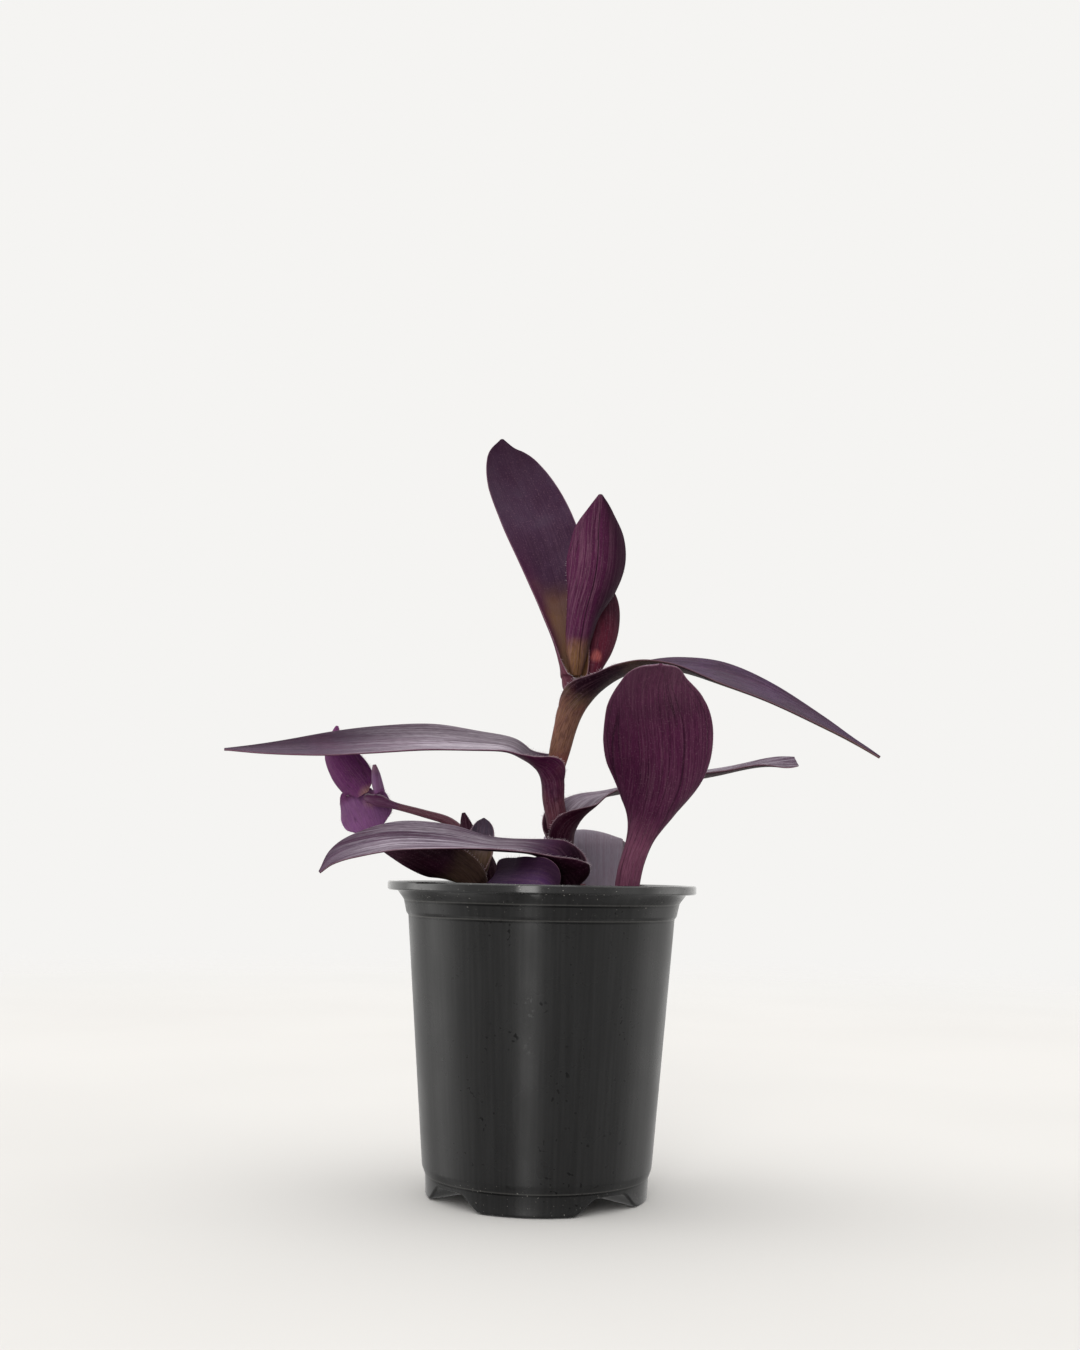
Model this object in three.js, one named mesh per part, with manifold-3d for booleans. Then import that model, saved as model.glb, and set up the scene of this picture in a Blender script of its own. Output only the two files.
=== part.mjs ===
// Potted tradescantia, the purple heart kind: a young plant in a round black nursery pot.
// Millimetres, +Z up, origin on the standing surface under the middle of the pot.
// The front of the pot is -Y and its right is +X.
import * as THREE from 'three';
import { mergeVertices } from 'three/addons/utils/BufferGeometryUtils.js';
import Module from 'manifold-3d';

const wasm = await Module();
wasm.setup();

// ---------------------------------------------------------------- driving dimensions

const GAP = 0.3; // between pieces that touch on the real plant

const POT_HEIGHT = 106.2;
const LIP_RADIUS = 52.5;
const LIP_DEPTH = 3;
const POT_WALL = 1.2;
const POT_SECTORS = 60;
const FOOT_HEIGHT = 5.5;
const FOOT_RADIUS = 37.8;
const CHANNEL_FLAT = 5.3; // half width of the raised channels between the feet, at their top
const CHANNEL_MOUTH = 14.5; // and at the standing surface
const CHANNEL_ANGLE = THREE.MathUtils.degToRad(40); // of one channel, from the front to the right
const DRAIN_RADIUS = 4;
const DRAIN_CIRCLE = 28;

const SOIL_LEVEL = 93.5;
const SOIL_BUMP = 0.8;
const SOIL_CLEARANCE = 1.2; // of the soil round each stem's foot and above the pot's floor
const STEM_DEPTH = 9; // of each stem's foot below the soil level

const SHEATH_WALL = 0.7;
const BLADE_EDGE = 0.7; // blade thickness at its margins
const RIB_THICKNESS = 1.1; // and at its midrib
const BLADE_COLUMNS = 8; // strips of a blade from margin to margin
const STEM_SIDES = 10;

// ---------------------------------------------------------------- materials

function material(color, roughness) {
  return new THREE.MeshStandardMaterial({ color, roughness, metalness: 0, side: THREE.FrontSide });
}

const POT_PLASTIC = material(0x242526, 0.42);
const POTTING_SOIL = material(0x2b1f17, 0.95);
const STEM_SKIN = material(0x6d3f4c, 0.55);
const STALK_SKIN = material(0x6b3846, 0.5);
const UPPER_LEAF = material(0x46394a, 0.5);
const UNDER_LEAF = material(0x4e2440, 0.45);
const DARK_LEAF = material(0x35182b, 0.5);
const OLIVE_LEAF = material(0x43382f, 0.5);
const BRACT_SKIN = material(0x6e4173, 0.5);

// ---------------------------------------------------------------- solids and booleans

function geometryFrom(positions, triangles) {
  const geometry = new THREE.BufferGeometry();
  geometry.setAttribute('position', new THREE.Float32BufferAttribute(positions, 3));
  geometry.setIndex(triangles);
  geometry.computeVertexNormals();
  return geometry;
}

function solidFrom(geometry) {
  const bare = geometry.clone();
  bare.deleteAttribute('normal');
  bare.deleteAttribute('uv');
  const merged = mergeVertices(bare, 1e-4);
  return new wasm.Manifold(new wasm.Mesh({
    numProp: 3,
    vertProperties: Float32Array.from(merged.attributes.position.array),
    triVerts: Uint32Array.from(merged.index.array),
  }));
}

function geometryOf(solid) {
  const mesh = solid.getMesh();
  return geometryFrom(Array.from(mesh.vertProperties), Array.from(mesh.triVerts));
}

function upright(radius, bottom, top, x, y, sides = 12) {
  const geometry = new THREE.CylinderGeometry(radius, radius, top - bottom, sides);
  geometry.rotateX(Math.PI / 2);
  geometry.translate(x, y, (top + bottom) / 2);
  return geometry;
}

function subtractAll(geometry, tools) {
  let solid = solidFrom(geometry);
  for (const tool of tools) {
    solid = solid.subtract(solidFrom(tool));
  }
  return geometryOf(solid);
}

// A closed body of rings round the Z axis. Its first and last rings shrink to a point on the axis.
// Each ring has a radius, and a height that may be a function of x and y.
function ringedBody(rings, sectors) {
  const positions = [];
  const triangles = [];
  const heightAt = (ring, x, y) => (typeof ring.height === 'function' ? ring.height(x, y) : ring.height);
  const first = rings[0];
  const last = rings[rings.length - 1];
  const loops = rings.slice(1, -1);
  positions.push(0, 0, heightAt(first, 0, 0));
  for (const ring of loops) {
    for (let i = 0; i < sectors; i += 1) {
      const angle = (i / sectors) * 2 * Math.PI + CHANNEL_ANGLE;
      const x = ring.radius * Math.sin(angle);
      const y = -ring.radius * Math.cos(angle);
      positions.push(x, y, heightAt(ring, x, y));
    }
  }
  positions.push(0, 0, heightAt(last, 0, 0));
  const end = positions.length / 3 - 1;
  const at = (loop, i) => 1 + loop * sectors + (i % sectors);
  for (let i = 0; i < sectors; i += 1) {
    triangles.push(0, at(0, i), at(0, i + 1));
    for (let loop = 0; loop < loops.length - 1; loop += 1) {
      triangles.push(at(loop, i), at(loop + 1, i), at(loop + 1, i + 1));
      triangles.push(at(loop, i), at(loop + 1, i + 1), at(loop, i + 1));
    }
    triangles.push(at(loops.length - 1, i), end, at(loops.length - 1, i + 1));
  }
  return geometryFrom(positions, triangles);
}

// ---------------------------------------------------------------- pot

// How far the underside is raised at a place: 0 on the four feet, full in the crossed channels.
function raisedBase(x, y) {
  const along = [Math.sin(CHANNEL_ANGLE), -Math.cos(CHANNEL_ANGLE)];
  const offsets = [Math.abs(x * along[1] - y * along[0]), Math.abs(x * along[0] + y * along[1])];
  const rises = offsets.map((d) => 1 - THREE.MathUtils.smoothstep(d, CHANNEL_FLAT, CHANNEL_MOUTH));
  return FOOT_HEIGHT * (1 - (1 - rises[0]) * (1 - rises[1]));
}

// Outside radius of the wall, from the lip down: flared neck, ledge, collar, ledge, tapered wall, foot.
const OUTER_WALL = [
  [49.2, POT_HEIGHT - LIP_DEPTH], [48.8, 102.6], [47.3, 100.6], [46.9, 99.9], [46.0, 95.7], [45.3, 94.8],
  [45.1, 91.5], [39.3, 12.4], [39.1, 10.2], [38.0, 7.1],
];
const BASE_RADII = [36.4, 31, 24, 17, 9];

function insideRadius(height) {
  const wall = [[LIP_RADIUS - 4, POT_HEIGHT], ...OUTER_WALL];
  for (let i = 1; i < wall.length; i += 1) {
    const [topRadius, top] = wall[i - 1];
    const [lowRadius, low] = wall[i];
    if (height >= low) {
      return THREE.MathUtils.mapLinear(height, low, top, lowRadius, topRadius) - POT_WALL;
    }
  }
  return FOOT_RADIUS - POT_WALL;
}

function potGeometry() {
  const floor = (x, y) => raisedBase(x, y) + POT_WALL;
  const rings = [{ radius: 0, height: floor }];
  for (const radius of [...BASE_RADII].reverse()) {
    rings.push({ radius, height: floor });
  }
  for (const height of [12.4, 91.5, 95.7, 100.3, 102.4]) {
    rings.push({ radius: insideRadius(height), height });
  }
  // the lip: a rounded band that slopes in to the neck
  rings.push({ radius: 48.4, height: POT_HEIGHT - 0.9 });
  rings.push({ radius: 49.8, height: POT_HEIGHT });
  rings.push({ radius: LIP_RADIUS - 0.9, height: POT_HEIGHT });
  rings.push({ radius: LIP_RADIUS, height: POT_HEIGHT - 0.8 });
  rings.push({ radius: LIP_RADIUS, height: POT_HEIGHT - LIP_DEPTH + 0.6 });
  rings.push({ radius: LIP_RADIUS - 0.7, height: POT_HEIGHT - LIP_DEPTH });
  for (const [radius, height] of OUTER_WALL) {
    rings.push({ radius, height });
  }
  rings.push({ radius: FOOT_RADIUS, height: (x, y) => raisedBase(x, y) + 0.9 });
  for (const radius of BASE_RADII) {
    rings.push({ radius, height: raisedBase });
  }
  rings.push({ radius: 0, height: raisedBase });
  const drains = [upright(DRAIN_RADIUS, -1, 20, 0, 0)];
  for (let i = 0; i < 4; i += 1) {
    const angle = CHANNEL_ANGLE + (i * Math.PI) / 2;
    const x = DRAIN_CIRCLE * Math.sin(angle);
    const y = -DRAIN_CIRCLE * Math.cos(angle);
    drains.push(upright(DRAIN_RADIUS, -1, 20, x, y));
  }
  return subtractAll(ringedBody(rings, POT_SECTORS), drains);
}

// ---------------------------------------------------------------- stems

function splineThrough(points) {
  return new THREE.CatmullRomCurve3(points, false, 'catmullrom', 0.5);
}

// A round shoot: each row is a point on its axis and its radius there.
function stemGeometry(rows, steps) {
  const axis = splineThrough(rows.map(([x, y, z]) => new THREE.Vector3(x, y, z)));
  const girth = splineThrough(rows.map((row) => new THREE.Vector3(row[3], 0, 0)));
  const positions = [];
  const triangles = [];
  for (let row = 0; row <= steps; row += 1) {
    const centre = axis.getPoint(row / steps);
    const tangent = axis.getTangent(row / steps);
    const side = new THREE.Vector3(0, 1, 0).cross(tangent).normalize();
    const front = tangent.clone().cross(side);
    const radius = girth.getPoint(row / steps).x;
    for (let i = 0; i < STEM_SIDES; i += 1) {
      const angle = (i / STEM_SIDES) * 2 * Math.PI;
      const point = centre.clone();
      point.addScaledVector(side, radius * Math.cos(angle));
      point.addScaledVector(front, radius * Math.sin(angle));
      positions.push(point.x, point.y, point.z);
    }
  }
  const foot = positions.length / 3;
  positions.push(...axis.getPoint(0).toArray(), ...axis.getPoint(1).toArray());
  const at = (row, i) => row * STEM_SIDES + (i % STEM_SIDES);
  for (let i = 0; i < STEM_SIDES; i += 1) {
    for (let row = 0; row < steps; row += 1) {
      triangles.push(at(row, i), at(row, i + 1), at(row + 1, i + 1));
      triangles.push(at(row, i), at(row + 1, i + 1), at(row + 1, i));
    }
    triangles.push(foot, at(0, i + 1), at(0, i));
    triangles.push(foot + 1, at(steps, i), at(steps, i + 1));
  }
  return geometryFrom(positions, triangles);
}

const FOOT_Z = SOIL_LEVEL - STEM_DEPTH;

const STEMS = {
  stem_main: {
    steps: 24,
    rows: [
      [9.4, 4.2, FOOT_Z, 3.3], [9.3, 4.2, 98, 3.4], [8.4, 4.0, 107, 3.2], [6.6, 3.6, 114.5, 2.8],
      [5.9, 3.2, 121, 2.5], [4.6, 3.0, 127, 2.2], [3.4, 2.5, 134.8, 2.2], [3.1, 2.0, 140, 1.9],
      [3.9, 1.6, 145.5, 1.6], [5.2, 1.3, 150, 1.9], [6.5, 1.0, 157, 1.9], [7.6, 0.8, 163.5, 1.6],
      [8.6, 0.6, 169, 1.0],
    ],
  },
  stem_left: {
    steps: 8,
    rows: [[-21.9, -8.2, FOOT_Z, 1.8], [-22, -8.1, 95, 1.8], [-22.2, -8, 103, 1.3], [-22.2, -7.6, 111, 0.7]],
  },
  stem_front: {
    steps: 8,
    rows: [[9.3, -20.9, FOOT_Z, 2.2], [9.2, -21, 95, 2.2], [8.9, -21.2, 103, 2.1], [9.2, -21.5, 109, 1.0]],
  },
  stem_right: {
    steps: 8,
    rows: [[27.3, -21.1, FOOT_Z, 2.6], [27.4, -21.2, 96, 2.6], [27.9, -21.6, 104, 2.4], [28.8, -22.8, 111, 1.2]],
  },
  stem_back: {
    steps: 8,
    rows: [[14.3, 12.6, FOOT_Z, 2.5], [14.3, 12.7, 95, 2.5], [14.2, 13.1, 101, 2.1], [14.3, 14.0, 106, 1.0]],
  },
};

const STALK = {
  steps: 26,
  rows: [
    [-18.4, 7.0, FOOT_Z, 1.6], [-18.7, 7.2, 98, 1.6], [-19.5, 8.0, 107, 1.6], [-22.4, 10.2, 115.5, 1.6],
    [-27, 11.8, 122, 1.6], [-33, 12.4, 127, 1.6], [-42, 12.8, 129.7, 1.4], [-52, 13.4, 132.2, 1.3],
    [-57.4, 13.9, 133.8, 2.2], [-60.2, 14.5, 134.4, 1.7], [-62, 16.2, 135, 1.5], [-62.7, 17.9, 135.1, 0.9],
  ],
};

// ---------------------------------------------------------------- leaves

// A leaf is one strip. At its foot it is rolled into a closed sheath round the stem, and towards its
// tip it opens into the blade. Each row of a leaf says where its midrib runs, half the strip's width
// measured along its curve, how far the strip turns from the midrib to a margin (pi is closed), and
// the way that its upper face looks there.
function row(at, half, curl, face) {
  return { at, half, curl, face };
}

// A flat row still turns a little, because the turn divides the width.
function flatter(curl) {
  return Math.abs(curl) < 0.02 ? 0.02 : curl;
}

function leafGeometry({ rows, steps, columns = BLADE_COLUMNS }) {
  const rib = splineThrough(rows.map((r) => new THREE.Vector3(...r.at)));
  const facing = splineThrough(rows.map((r) => new THREE.Vector3(...r.face).normalize()));
  const spread = splineThrough(rows.map((r) => new THREE.Vector3(r.half, r.curl, 0)));
  const positions = [];
  const triangles = [];
  const closed = [];
  const count = columns + 1;
  for (let step = 0; step <= steps; step += 1) {
    const t = step / steps;
    const centre = rib.getPoint(t);
    const along = rib.getTangent(t);
    const face = facing.getPoint(t);
    face.addScaledVector(along, -face.dot(along)).normalize();
    const side = along.clone().cross(face);
    const half = spread.getPoint(t).x;
    const curl = Math.min(spread.getPoint(t).y, Math.PI);
    closed.push(curl > Math.PI - 0.05);
    const turn = closed[step] ? Math.PI : flatter(curl);
    for (const layer of [1, -1]) {
      for (let j = 0; j < count; j += 1) {
        const across = (2 * j) / columns - 1;
        const angle = turn * across;
        const open = 1 - turn / Math.PI;
        const swell = (RIB_THICKNESS - BLADE_EDGE) * open * (1 - Math.abs(across)) ** 2;
        const thickness = (closed[step] ? SHEATH_WALL : BLADE_EDGE) + swell;
        const sideways = (half * Math.sin(angle)) / turn - (layer * thickness * Math.sin(angle)) / 2;
        const up = (half * (1 - Math.cos(angle))) / turn + (layer * thickness * Math.cos(angle)) / 2;
        const point = centre.clone().addScaledVector(side, sideways).addScaledVector(face, up);
        positions.push(point.x, point.y, point.z);
      }
    }
  }
  // a closed row has one seam, so its last column is its first
  const at = (step, layer, j) => (step * 2 + layer) * count + (closed[step] && j === columns ? 0 : j);
  const quad = (a, b, c, d) => {
    if (a !== b && b !== c) triangles.push(a, b, c);
    if (a !== d && d !== c) triangles.push(a, c, d);
  };
  for (let step = 0; step < steps; step += 1) {
    for (let j = 0; j < columns; j += 1) {
      quad(at(step, 0, j), at(step, 0, j + 1), at(step + 1, 0, j + 1), at(step + 1, 0, j));
      triangles.push(at(step, 1, j), at(step + 1, 1, j + 1), at(step, 1, j + 1));
      triangles.push(at(step, 1, j), at(step + 1, 1, j), at(step + 1, 1, j + 1));
    }
    if (!(closed[step] && closed[step + 1])) {
      quad(at(step, 1, 0), at(step, 0, 0), at(step + 1, 0, 0), at(step + 1, 1, 0));
      quad(at(step, 0, columns), at(step, 1, columns), at(step + 1, 1, columns), at(step + 1, 0, columns));
    }
  }
  for (let j = 0; j < columns; j += 1) {
    quad(at(0, 1, j), at(0, 1, j + 1), at(0, 0, j + 1), at(0, 0, j));
    quad(at(steps, 0, j), at(steps, 0, j + 1), at(steps, 1, j + 1), at(steps, 1, j));
  }
  return compacted(positions, triangles);
}

// Leaves out the vertices that no triangle uses.
function compacted(positions, triangles) {
  const places = new Map();
  const kept = [];
  const renumbered = triangles.map((index) => {
    if (!places.has(index)) {
      places.set(index, kept.length / 3);
      kept.push(positions[3 * index], positions[3 * index + 1], positions[3 * index + 2]);
    }
    return places.get(index);
  });
  return geometryFrom(kept, renumbered);
}

const ROLLED = Math.PI;

const LEAVES = {
  leaf_right_back: {
    material: UPPER_LEAF,
    steps: 16,
    rows: [
      row([9.9, 5.3, 115.8], 12.1, ROLLED, [-0.9, -0.44, 0]),
      row([9.9, 5.1, 120.6], 13.6, ROLLED, [-0.9, -0.44, 0]),
      row([10.5, 5.7, 125.2], 13.6, 2.1, [-0.86, -0.45, 0.15]),
      row([13.4, 7.3, 131.3], 12, 0.7, [-0.55, -0.42, 0.7]),
      row([18.6, 9.8, 135.9], 11.6, 0.35, [-0.4, -0.22, 0.88]),
      row([28, 14.5, 138.5], 11.8, 0.35, [-0.27, -0.06, 0.95]),
      row([42, 21, 141.8], 12.6, 0.35, [-0.2, -0.07, 0.97]),
      row([60, 29.5, 145.8], 11.4, 0.3, [-0.17, -0.1, 0.97]),
      row([77, 37, 150], 6.6, 0.3, [-0.12, -0.16, 0.97]),
      row([93.2, 44, 152.5], 2.2, 0.3, [0, -0.85, 0.5]),
    ],
  },
  leaf_left_arch: {
    material: UPPER_LEAF,
    steps: 20,
    rows: [
      row([1.9, 3.1, 124.8], 10.05, ROLLED, [1, 0, 0]),
      row([0.9, 2.8, 129.8], 10.5, ROLLED, [1, 0, 0]),
      row([-0.1, 2.5, 134.8], 10.9, ROLLED, [1, 0, 0]),
      row([-0.6, 2.0, 140.3], 11.6, ROLLED, [1, 0, 0]),
      row([-1.6, 1.8, 143.8], 12.4, 2.25, [1, -0.05, 0.02]),
      row([-3.7, 1.7, 146.5], 10.5, 1, [0.82, -0.17, 0.48]),
      row([-7, 1.8, 148.8], 10, 0.5, [0.42, -0.2, 0.88]),
      row([-13, 2.1, 151.9], 11, 0.35, [0.15, -0.3, 0.94]),
      row([-24, 2.9, 152.8], 12.2, 0.35, [0.05, -0.35, 0.93]),
      row([-40, 4, 153.2], 13.2, 0.45, [0, -0.42, 0.9]),
      row([-58, 5.3, 152.4], 12.6, 0.42, [-0.02, -0.45, 0.88]),
      row([-76, 6.5, 151.2], 10.4, 0.4, [-0.03, -0.46, 0.88]),
      row([-95, 7.9, 150.4], 6, 0.35, [-0.03, -0.4, 0.9]),
      row([-111.2, 9, 150.5], 0.5, 0.3, [-0.03, -0.35, 0.9]),
    ],
  },
  leaf_right_arch: {
    material: UPPER_LEAF,
    steps: 22,
    rows: [
      row([6, 1.5, 143.8], 7.8, ROLLED, [-1, 0.1, 0]),
      row([7.3, 1.2, 147.6], 9.3, ROLLED, [-1, 0.1, 0]),
      row([8.6, 1.0, 152], 10.4, ROLLED, [-1, 0.1, 0]),
      row([10.2, 0.7, 158], 11.2, ROLLED, [-1, 0.1, 0]),
      row([12, 0.4, 163], 12.8, ROLLED, [-1, 0.1, 0.1]),
      row([14.6, 0.1, 167.6], 12.8, 2.25, [-0.9, 0.08, 0.36]),
      row([19.2, -0.5, 172.9], 11.4, 0.95, [-0.62, 0.05, 0.78]),
      row([26, -1.3, 177.4], 12.2, 0.55, [-0.42, 0, 0.9]),
      row([34.5, -2.4, 179.8], 13.2, 0.46, [-0.22, -0.1, 0.96]),
      row([45, -3.7, 179.3], 13.6, 0.48, [-0.02, -0.23, 0.96]),
      row([59, -5.3, 176], 13, 0.45, [0.15, -0.41, 0.9]),
      row([75, -7.1, 170.1], 10.9, 0.4, [0.3, -0.43, 0.86]),
      row([93, -8.8, 161.1], 7.5, 0.35, [0.4, -0.36, 0.84]),
      row([105, -9.7, 154.7], 3.5, 0.3, [0.42, -0.28, 0.85]),
      row([112.3, -10, 150.6], 0.5, 0.3, [0.42, -0.36, 0.82]),
    ],
  },
  leaf_upper_left: {
    material: OLIVE_LEAF,
    steps: 16,
    rows: [
      row([8.8, 2.4, 171.4], 6.8, ROLLED, [0.35, -0.94, 0]),
      row([7.7, 2.9, 173.8], 8.6, ROLLED, [0.35, -0.94, 0]),
      row([7.8, 3.5, 176], 9.2, 2.3, [0.35, -0.94, 0]),
      row([8, 4.2, 180.5], 8.6, 1.75, [0.33, -0.94, 0]),
      row([7.1, 5.2, 188], 8.9, 1.4, [0.3, -0.94, 0]),
      row([5.5, 6.3, 197], 10.6, 1.2, [0.25, -0.95, 0.05]),
      row([3.1, 7.5, 208], 12.6, 1.05, [0.2, -0.96, 0.1]),
      row([-0.9, 8.9, 221.5], 13.5, 0.85, [0.15, -0.97, 0.1]),
      row([-6.2, 10.3, 234.5], 12.9, 0.65, [0.1, -0.97, 0.15]),
      row([-12.4, 11.6, 246.5], 10.8, 0.55, [0.1, -0.97, 0.2]),
      row([-16.2, 12.6, 254.9], 6.6, 0.5, [0.1, -0.97, 0.2]),
      row([-17, 13, 261.1], 0.6, 0.4, [0.1, -0.97, 0.2]),
    ],
  },
  leaf_upper_front: {
    material: UNDER_LEAF,
    steps: 14,
    rows: [
      row([10.6, -0.9, 177.2], 3.7, 2.2, [-0.25, 0.97, 0]),
      row([10.9, -2.5, 181.4], 5.2, 1.9, [-0.25, 0.97, 0]),
      row([11.4, -4.4, 188], 7.2, 1.8, [-0.2, 0.97, 0]),
      row([12.9, -6.2, 198], 8.4, 1.5, [-0.15, 0.98, 0]),
      row([15.4, -7.5, 207.8], 11.2, 1.2, [-0.1, 0.99, 0]),
      row([16.6, -8, 216.6], 11.8, 1.0, [-0.05, 1, 0]),
      row([16.7, -7.5, 226], 9.5, 0.9, [0, 1, 0]),
      row([17.1, -6.7, 233], 4.6, 0.8, [0, 1, 0]),
      row([17.2, -6, 237.8], 0.5, 0.6, [0, 1, 0]),
    ],
  },
  leaf_upper_inner: {
    material: DARK_LEAF,
    steps: 10,
    columns: 6,
    rows: [
      row([16.2, 2.6, 175.5], 2.4, 1.5, [-0.4, 0.9, 0]),
      row([17.2, 3.4, 181], 3.6, 1.3, [-0.3, 0.95, 0]),
      row([18.7, 4.2, 188], 5.9, 1.1, [-0.2, 0.97, 0]),
      row([19.8, 4.6, 196], 6.6, 0.95, [-0.15, 0.97, 0]),
      row([19.6, 4.4, 204], 5.4, 0.8, [-0.1, 1, 0]),
      row([18.2, 3.8, 212], 0.8, 0.6, [-0.1, 1, 0]),
    ],
  },
  leaf_front_spoon: {
    material: UNDER_LEAF,
    steps: 18,
    rows: [
      row([27.4, -24.9, 96.5], 11.8, ROLLED, [-0.05, 1, 0]),
      row([27.8, -25.3, 104], 11.7, ROLLED, [-0.05, 1, 0]),
      row([29, -26.4, 112], 11.6, ROLLED, [-0.05, 1, 0]),
      row([31.4, -28.4, 120], 10.6, 2.6, [-0.05, 0.97, 0.1]),
      row([34.5, -31.6, 129.5], 13.3, 1.45, [-0.05, 0.95, 0.25]),
      row([36.3, -36, 140], 17.9, 0.9, [0, 0.9, 0.4]),
      row([35.9, -41.5, 151], 18.8, 0.65, [0, 0.85, 0.5]),
      row([34.2, -48, 160.6], 16.1, 0.55, [0, 0.75, 0.65]),
      row([33.4, -55, 167.2], 10.9, 0.5, [0, 0.5, 0.85]),
      row([33.8, -62.5, 171], 6.4, 0.4, [0, 0.3, 0.95]),
      row([33.8, -69, 172.2], 0.6, 0.3, [0, 0.2, 0.97]),
    ],
  },
  leaf_low_back: {
    material: UPPER_LEAF,
    steps: 16,
    rows: [
      row([14.2, 16.5, 95], 11.5, ROLLED, [0, -1, 0]),
      row([14.2, 16.8, 98], 11.8, 2.4, [0, -1, 0]),
      row([14.4, 18, 102], 13.6, 1.2, [0, -0.95, 0.2]),
      row([14.6, 20, 107.5], 14.4, 0.7, [0, -0.9, 0.4]),
      row([14.6, 23.4, 114.5], 14.4, 0.5, [0, -0.8, 0.6]),
      row([14.6, 28, 121], 14.2, 0.1, [0, -0.6, 0.8]),
      row([14.8, 35, 125.2], 15, -0.45, [0, -0.15, 1]),
      row([15.2, 46, 123], 17.6, -0.45, [0, 0.3, 0.95]),
      row([15.6, 58, 116.5], 13, -0.15, [0, 0.45, 0.9]),
      row([15.9, 69, 108.5], 0.6, 0.1, [0, 0.5, 0.85]),
    ],
  },
  leaf_low_left: {
    material: UPPER_LEAF,
    steps: 18,
    rows: [
      row([5.9, -21.9, 99.4], 10, ROLLED, [0.97, 0.25, 0]),
      row([5.6, -22.2, 105.4], 10.4, ROLLED, [0.97, 0.25, 0]),
      row([5.1, -22.6, 109.6], 14.4, 2.3, [0.97, 0.05, 0.05]),
      row([2.6, -23.4, 113.2], 11.6, 1.2, [0.82, -0.18, 0.42]),
      row([-4.5, -24.6, 116.6], 10.2, 0.4, [0.25, -0.2, 0.95]),
      row([-17, -27, 117.4], 11.4, 0.35, [0.05, -0.2, 0.98]),
      row([-31, -28.2, 118.8], 12.2, 0.4, [-0.03, -0.34, 0.93]),
      row([-47, -28.4, 118.9], 11.3, 0.42, [-0.15, -0.44, 0.88]),
      row([-60, -27.5, 116.4], 8.2, 0.4, [-0.3, -0.5, 0.8]),
      row([-67.5, -26.8, 113.2], 5.2, 0.4, [-0.5, -0.5, 0.7]),
      row([-72.3, -26, 108.6], 0.6, 0.3, [-0.7, -0.4, 0.55]),
    ],
  },
  leaf_low_front: {
    material: UPPER_LEAF,
    steps: 14,
    columns: 6,
    rows: [
      row([-20.5, -10.7, 95.4], 9.3, ROLLED, [-0.5, 0.86, 0]),
      row([-20.2, -11.2, 98.4], 9.8, 2.3, [-0.5, 0.86, 0]),
      row([-18.6, -14.3, 101.9], 8.2, 1.25, [-0.45, 0.6, 0.45]),
      row([-17.4, -20, 106.2], 9.4, 0.8, [-0.4, -0.4, 0.8]),
      row([-11.2, -29.2, 106.9], 9, 0.5, [-0.15, -0.78, 0.6]),
      row([-5.4, -34.9, 107.2], 8.6, 0.45, [0.1, -0.85, 0.5]),
      row([0.2, -38, 106.3], 7.8, 0.45, [0.25, -0.88, 0.4]),
      row([4.6, -39.4, 102.4], 0.6, 0.4, [0.45, -0.8, 0.3]),
    ],
  },
  leaf_low_dark: {
    material: DARK_LEAF,
    steps: 12,
    columns: 6,
    rows: [
      row([-24.7, -9.1, 101.6], 8.2, ROLLED, [0.87, 0.5, 0]),
      row([-25.1, -9.3, 104.2], 9, 2.2, [0.85, 0.5, 0.1]),
      row([-27.8, -11, 107], 9.8, 1.4, [0.6, 0.7, 0.5]),
      row([-34.5, -12.8, 111.4], 9.4, 0.8, [0.35, 0.85, 0.45]),
      row([-42.5, -13.8, 115.4], 8.4, 0.6, [0.3, 0.9, 0.45]),
      row([-50.5, -14.2, 118.4], 5.4, 0.5, [0.3, 0.9, 0.45]),
      row([-58, -14.4, 120], 0.6, 0.4, [0.3, 0.9, 0.45]),
    ],
  },
  leaf_low_fold: {
    material: OLIVE_LEAF,
    steps: 14,
    columns: 6,
    rows: [
      row([-22.1, -5, 106.4], 7.2, ROLLED, [0, -1, 0]),
      row([-22.3, -4.6, 109], 7.8, 2.2, [0, -1, 0]),
      row([-22.3, -3.4, 113.8], 7.4, 1.5, [0, -0.97, 0.15]),
      row([-21.4, -1.4, 119], 6, 1.25, [0.05, -0.95, 0.2]),
      row([-20.7, 0.6, 123.2], 4.6, 1.1, [0.05, -0.95, 0.3]),
      row([-20.5, 2.2, 126.2], 2.6, 0.9, [0, -0.9, 0.4]),
      row([-20.4, 3.3, 128], 0.5, 0.6, [0, -0.9, 0.4]),
    ],
  },
  leaf_low_tip: {
    material: DARK_LEAF,
    steps: 12,
    columns: 6,
    rows: [
      row([-20.8, 5.2, 97], 9, ROLLED, [0.75, 0.66, 0]),
      row([-21.1, 5.3, 104], 9.2, ROLLED, [0.75, 0.66, 0]),
      row([-22, 5.2, 108.6], 8.8, 2.1, [0.6, 0.8, 0]),
      row([-23.8, 5.4, 114.6], 6.8, 1.5, [0.45, 0.88, 0.1]),
      row([-26, 6.2, 121.4], 4, 1.0, [0.35, 0.92, 0.1]),
      row([-27.1, 6.9, 126.6], 2.1, 0.9, [0.3, 0.93, 0.1]),
      row([-27.6, 7.3, 130], 0.5, 0.5, [0.3, 0.93, 0.1]),
    ],
  },
  bract_upper: {
    material: BRACT_SKIN,
    steps: 10,
    columns: 6,
    rows: [
      row([-63.9, 14.7, 135.7], 2.5, 0.9, [0.3, 0.9, 0.2]),
      row([-65.8, 14.8, 139], 7.1, 0.85, [0.3, 0.9, 0.2]),
      row([-68, 15.3, 141.6], 8.2, 0.8, [0.3, 0.9, 0.2]),
      row([-71.2, 16, 145.6], 8, 0.8, [0.3, 0.9, 0.2]),
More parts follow.
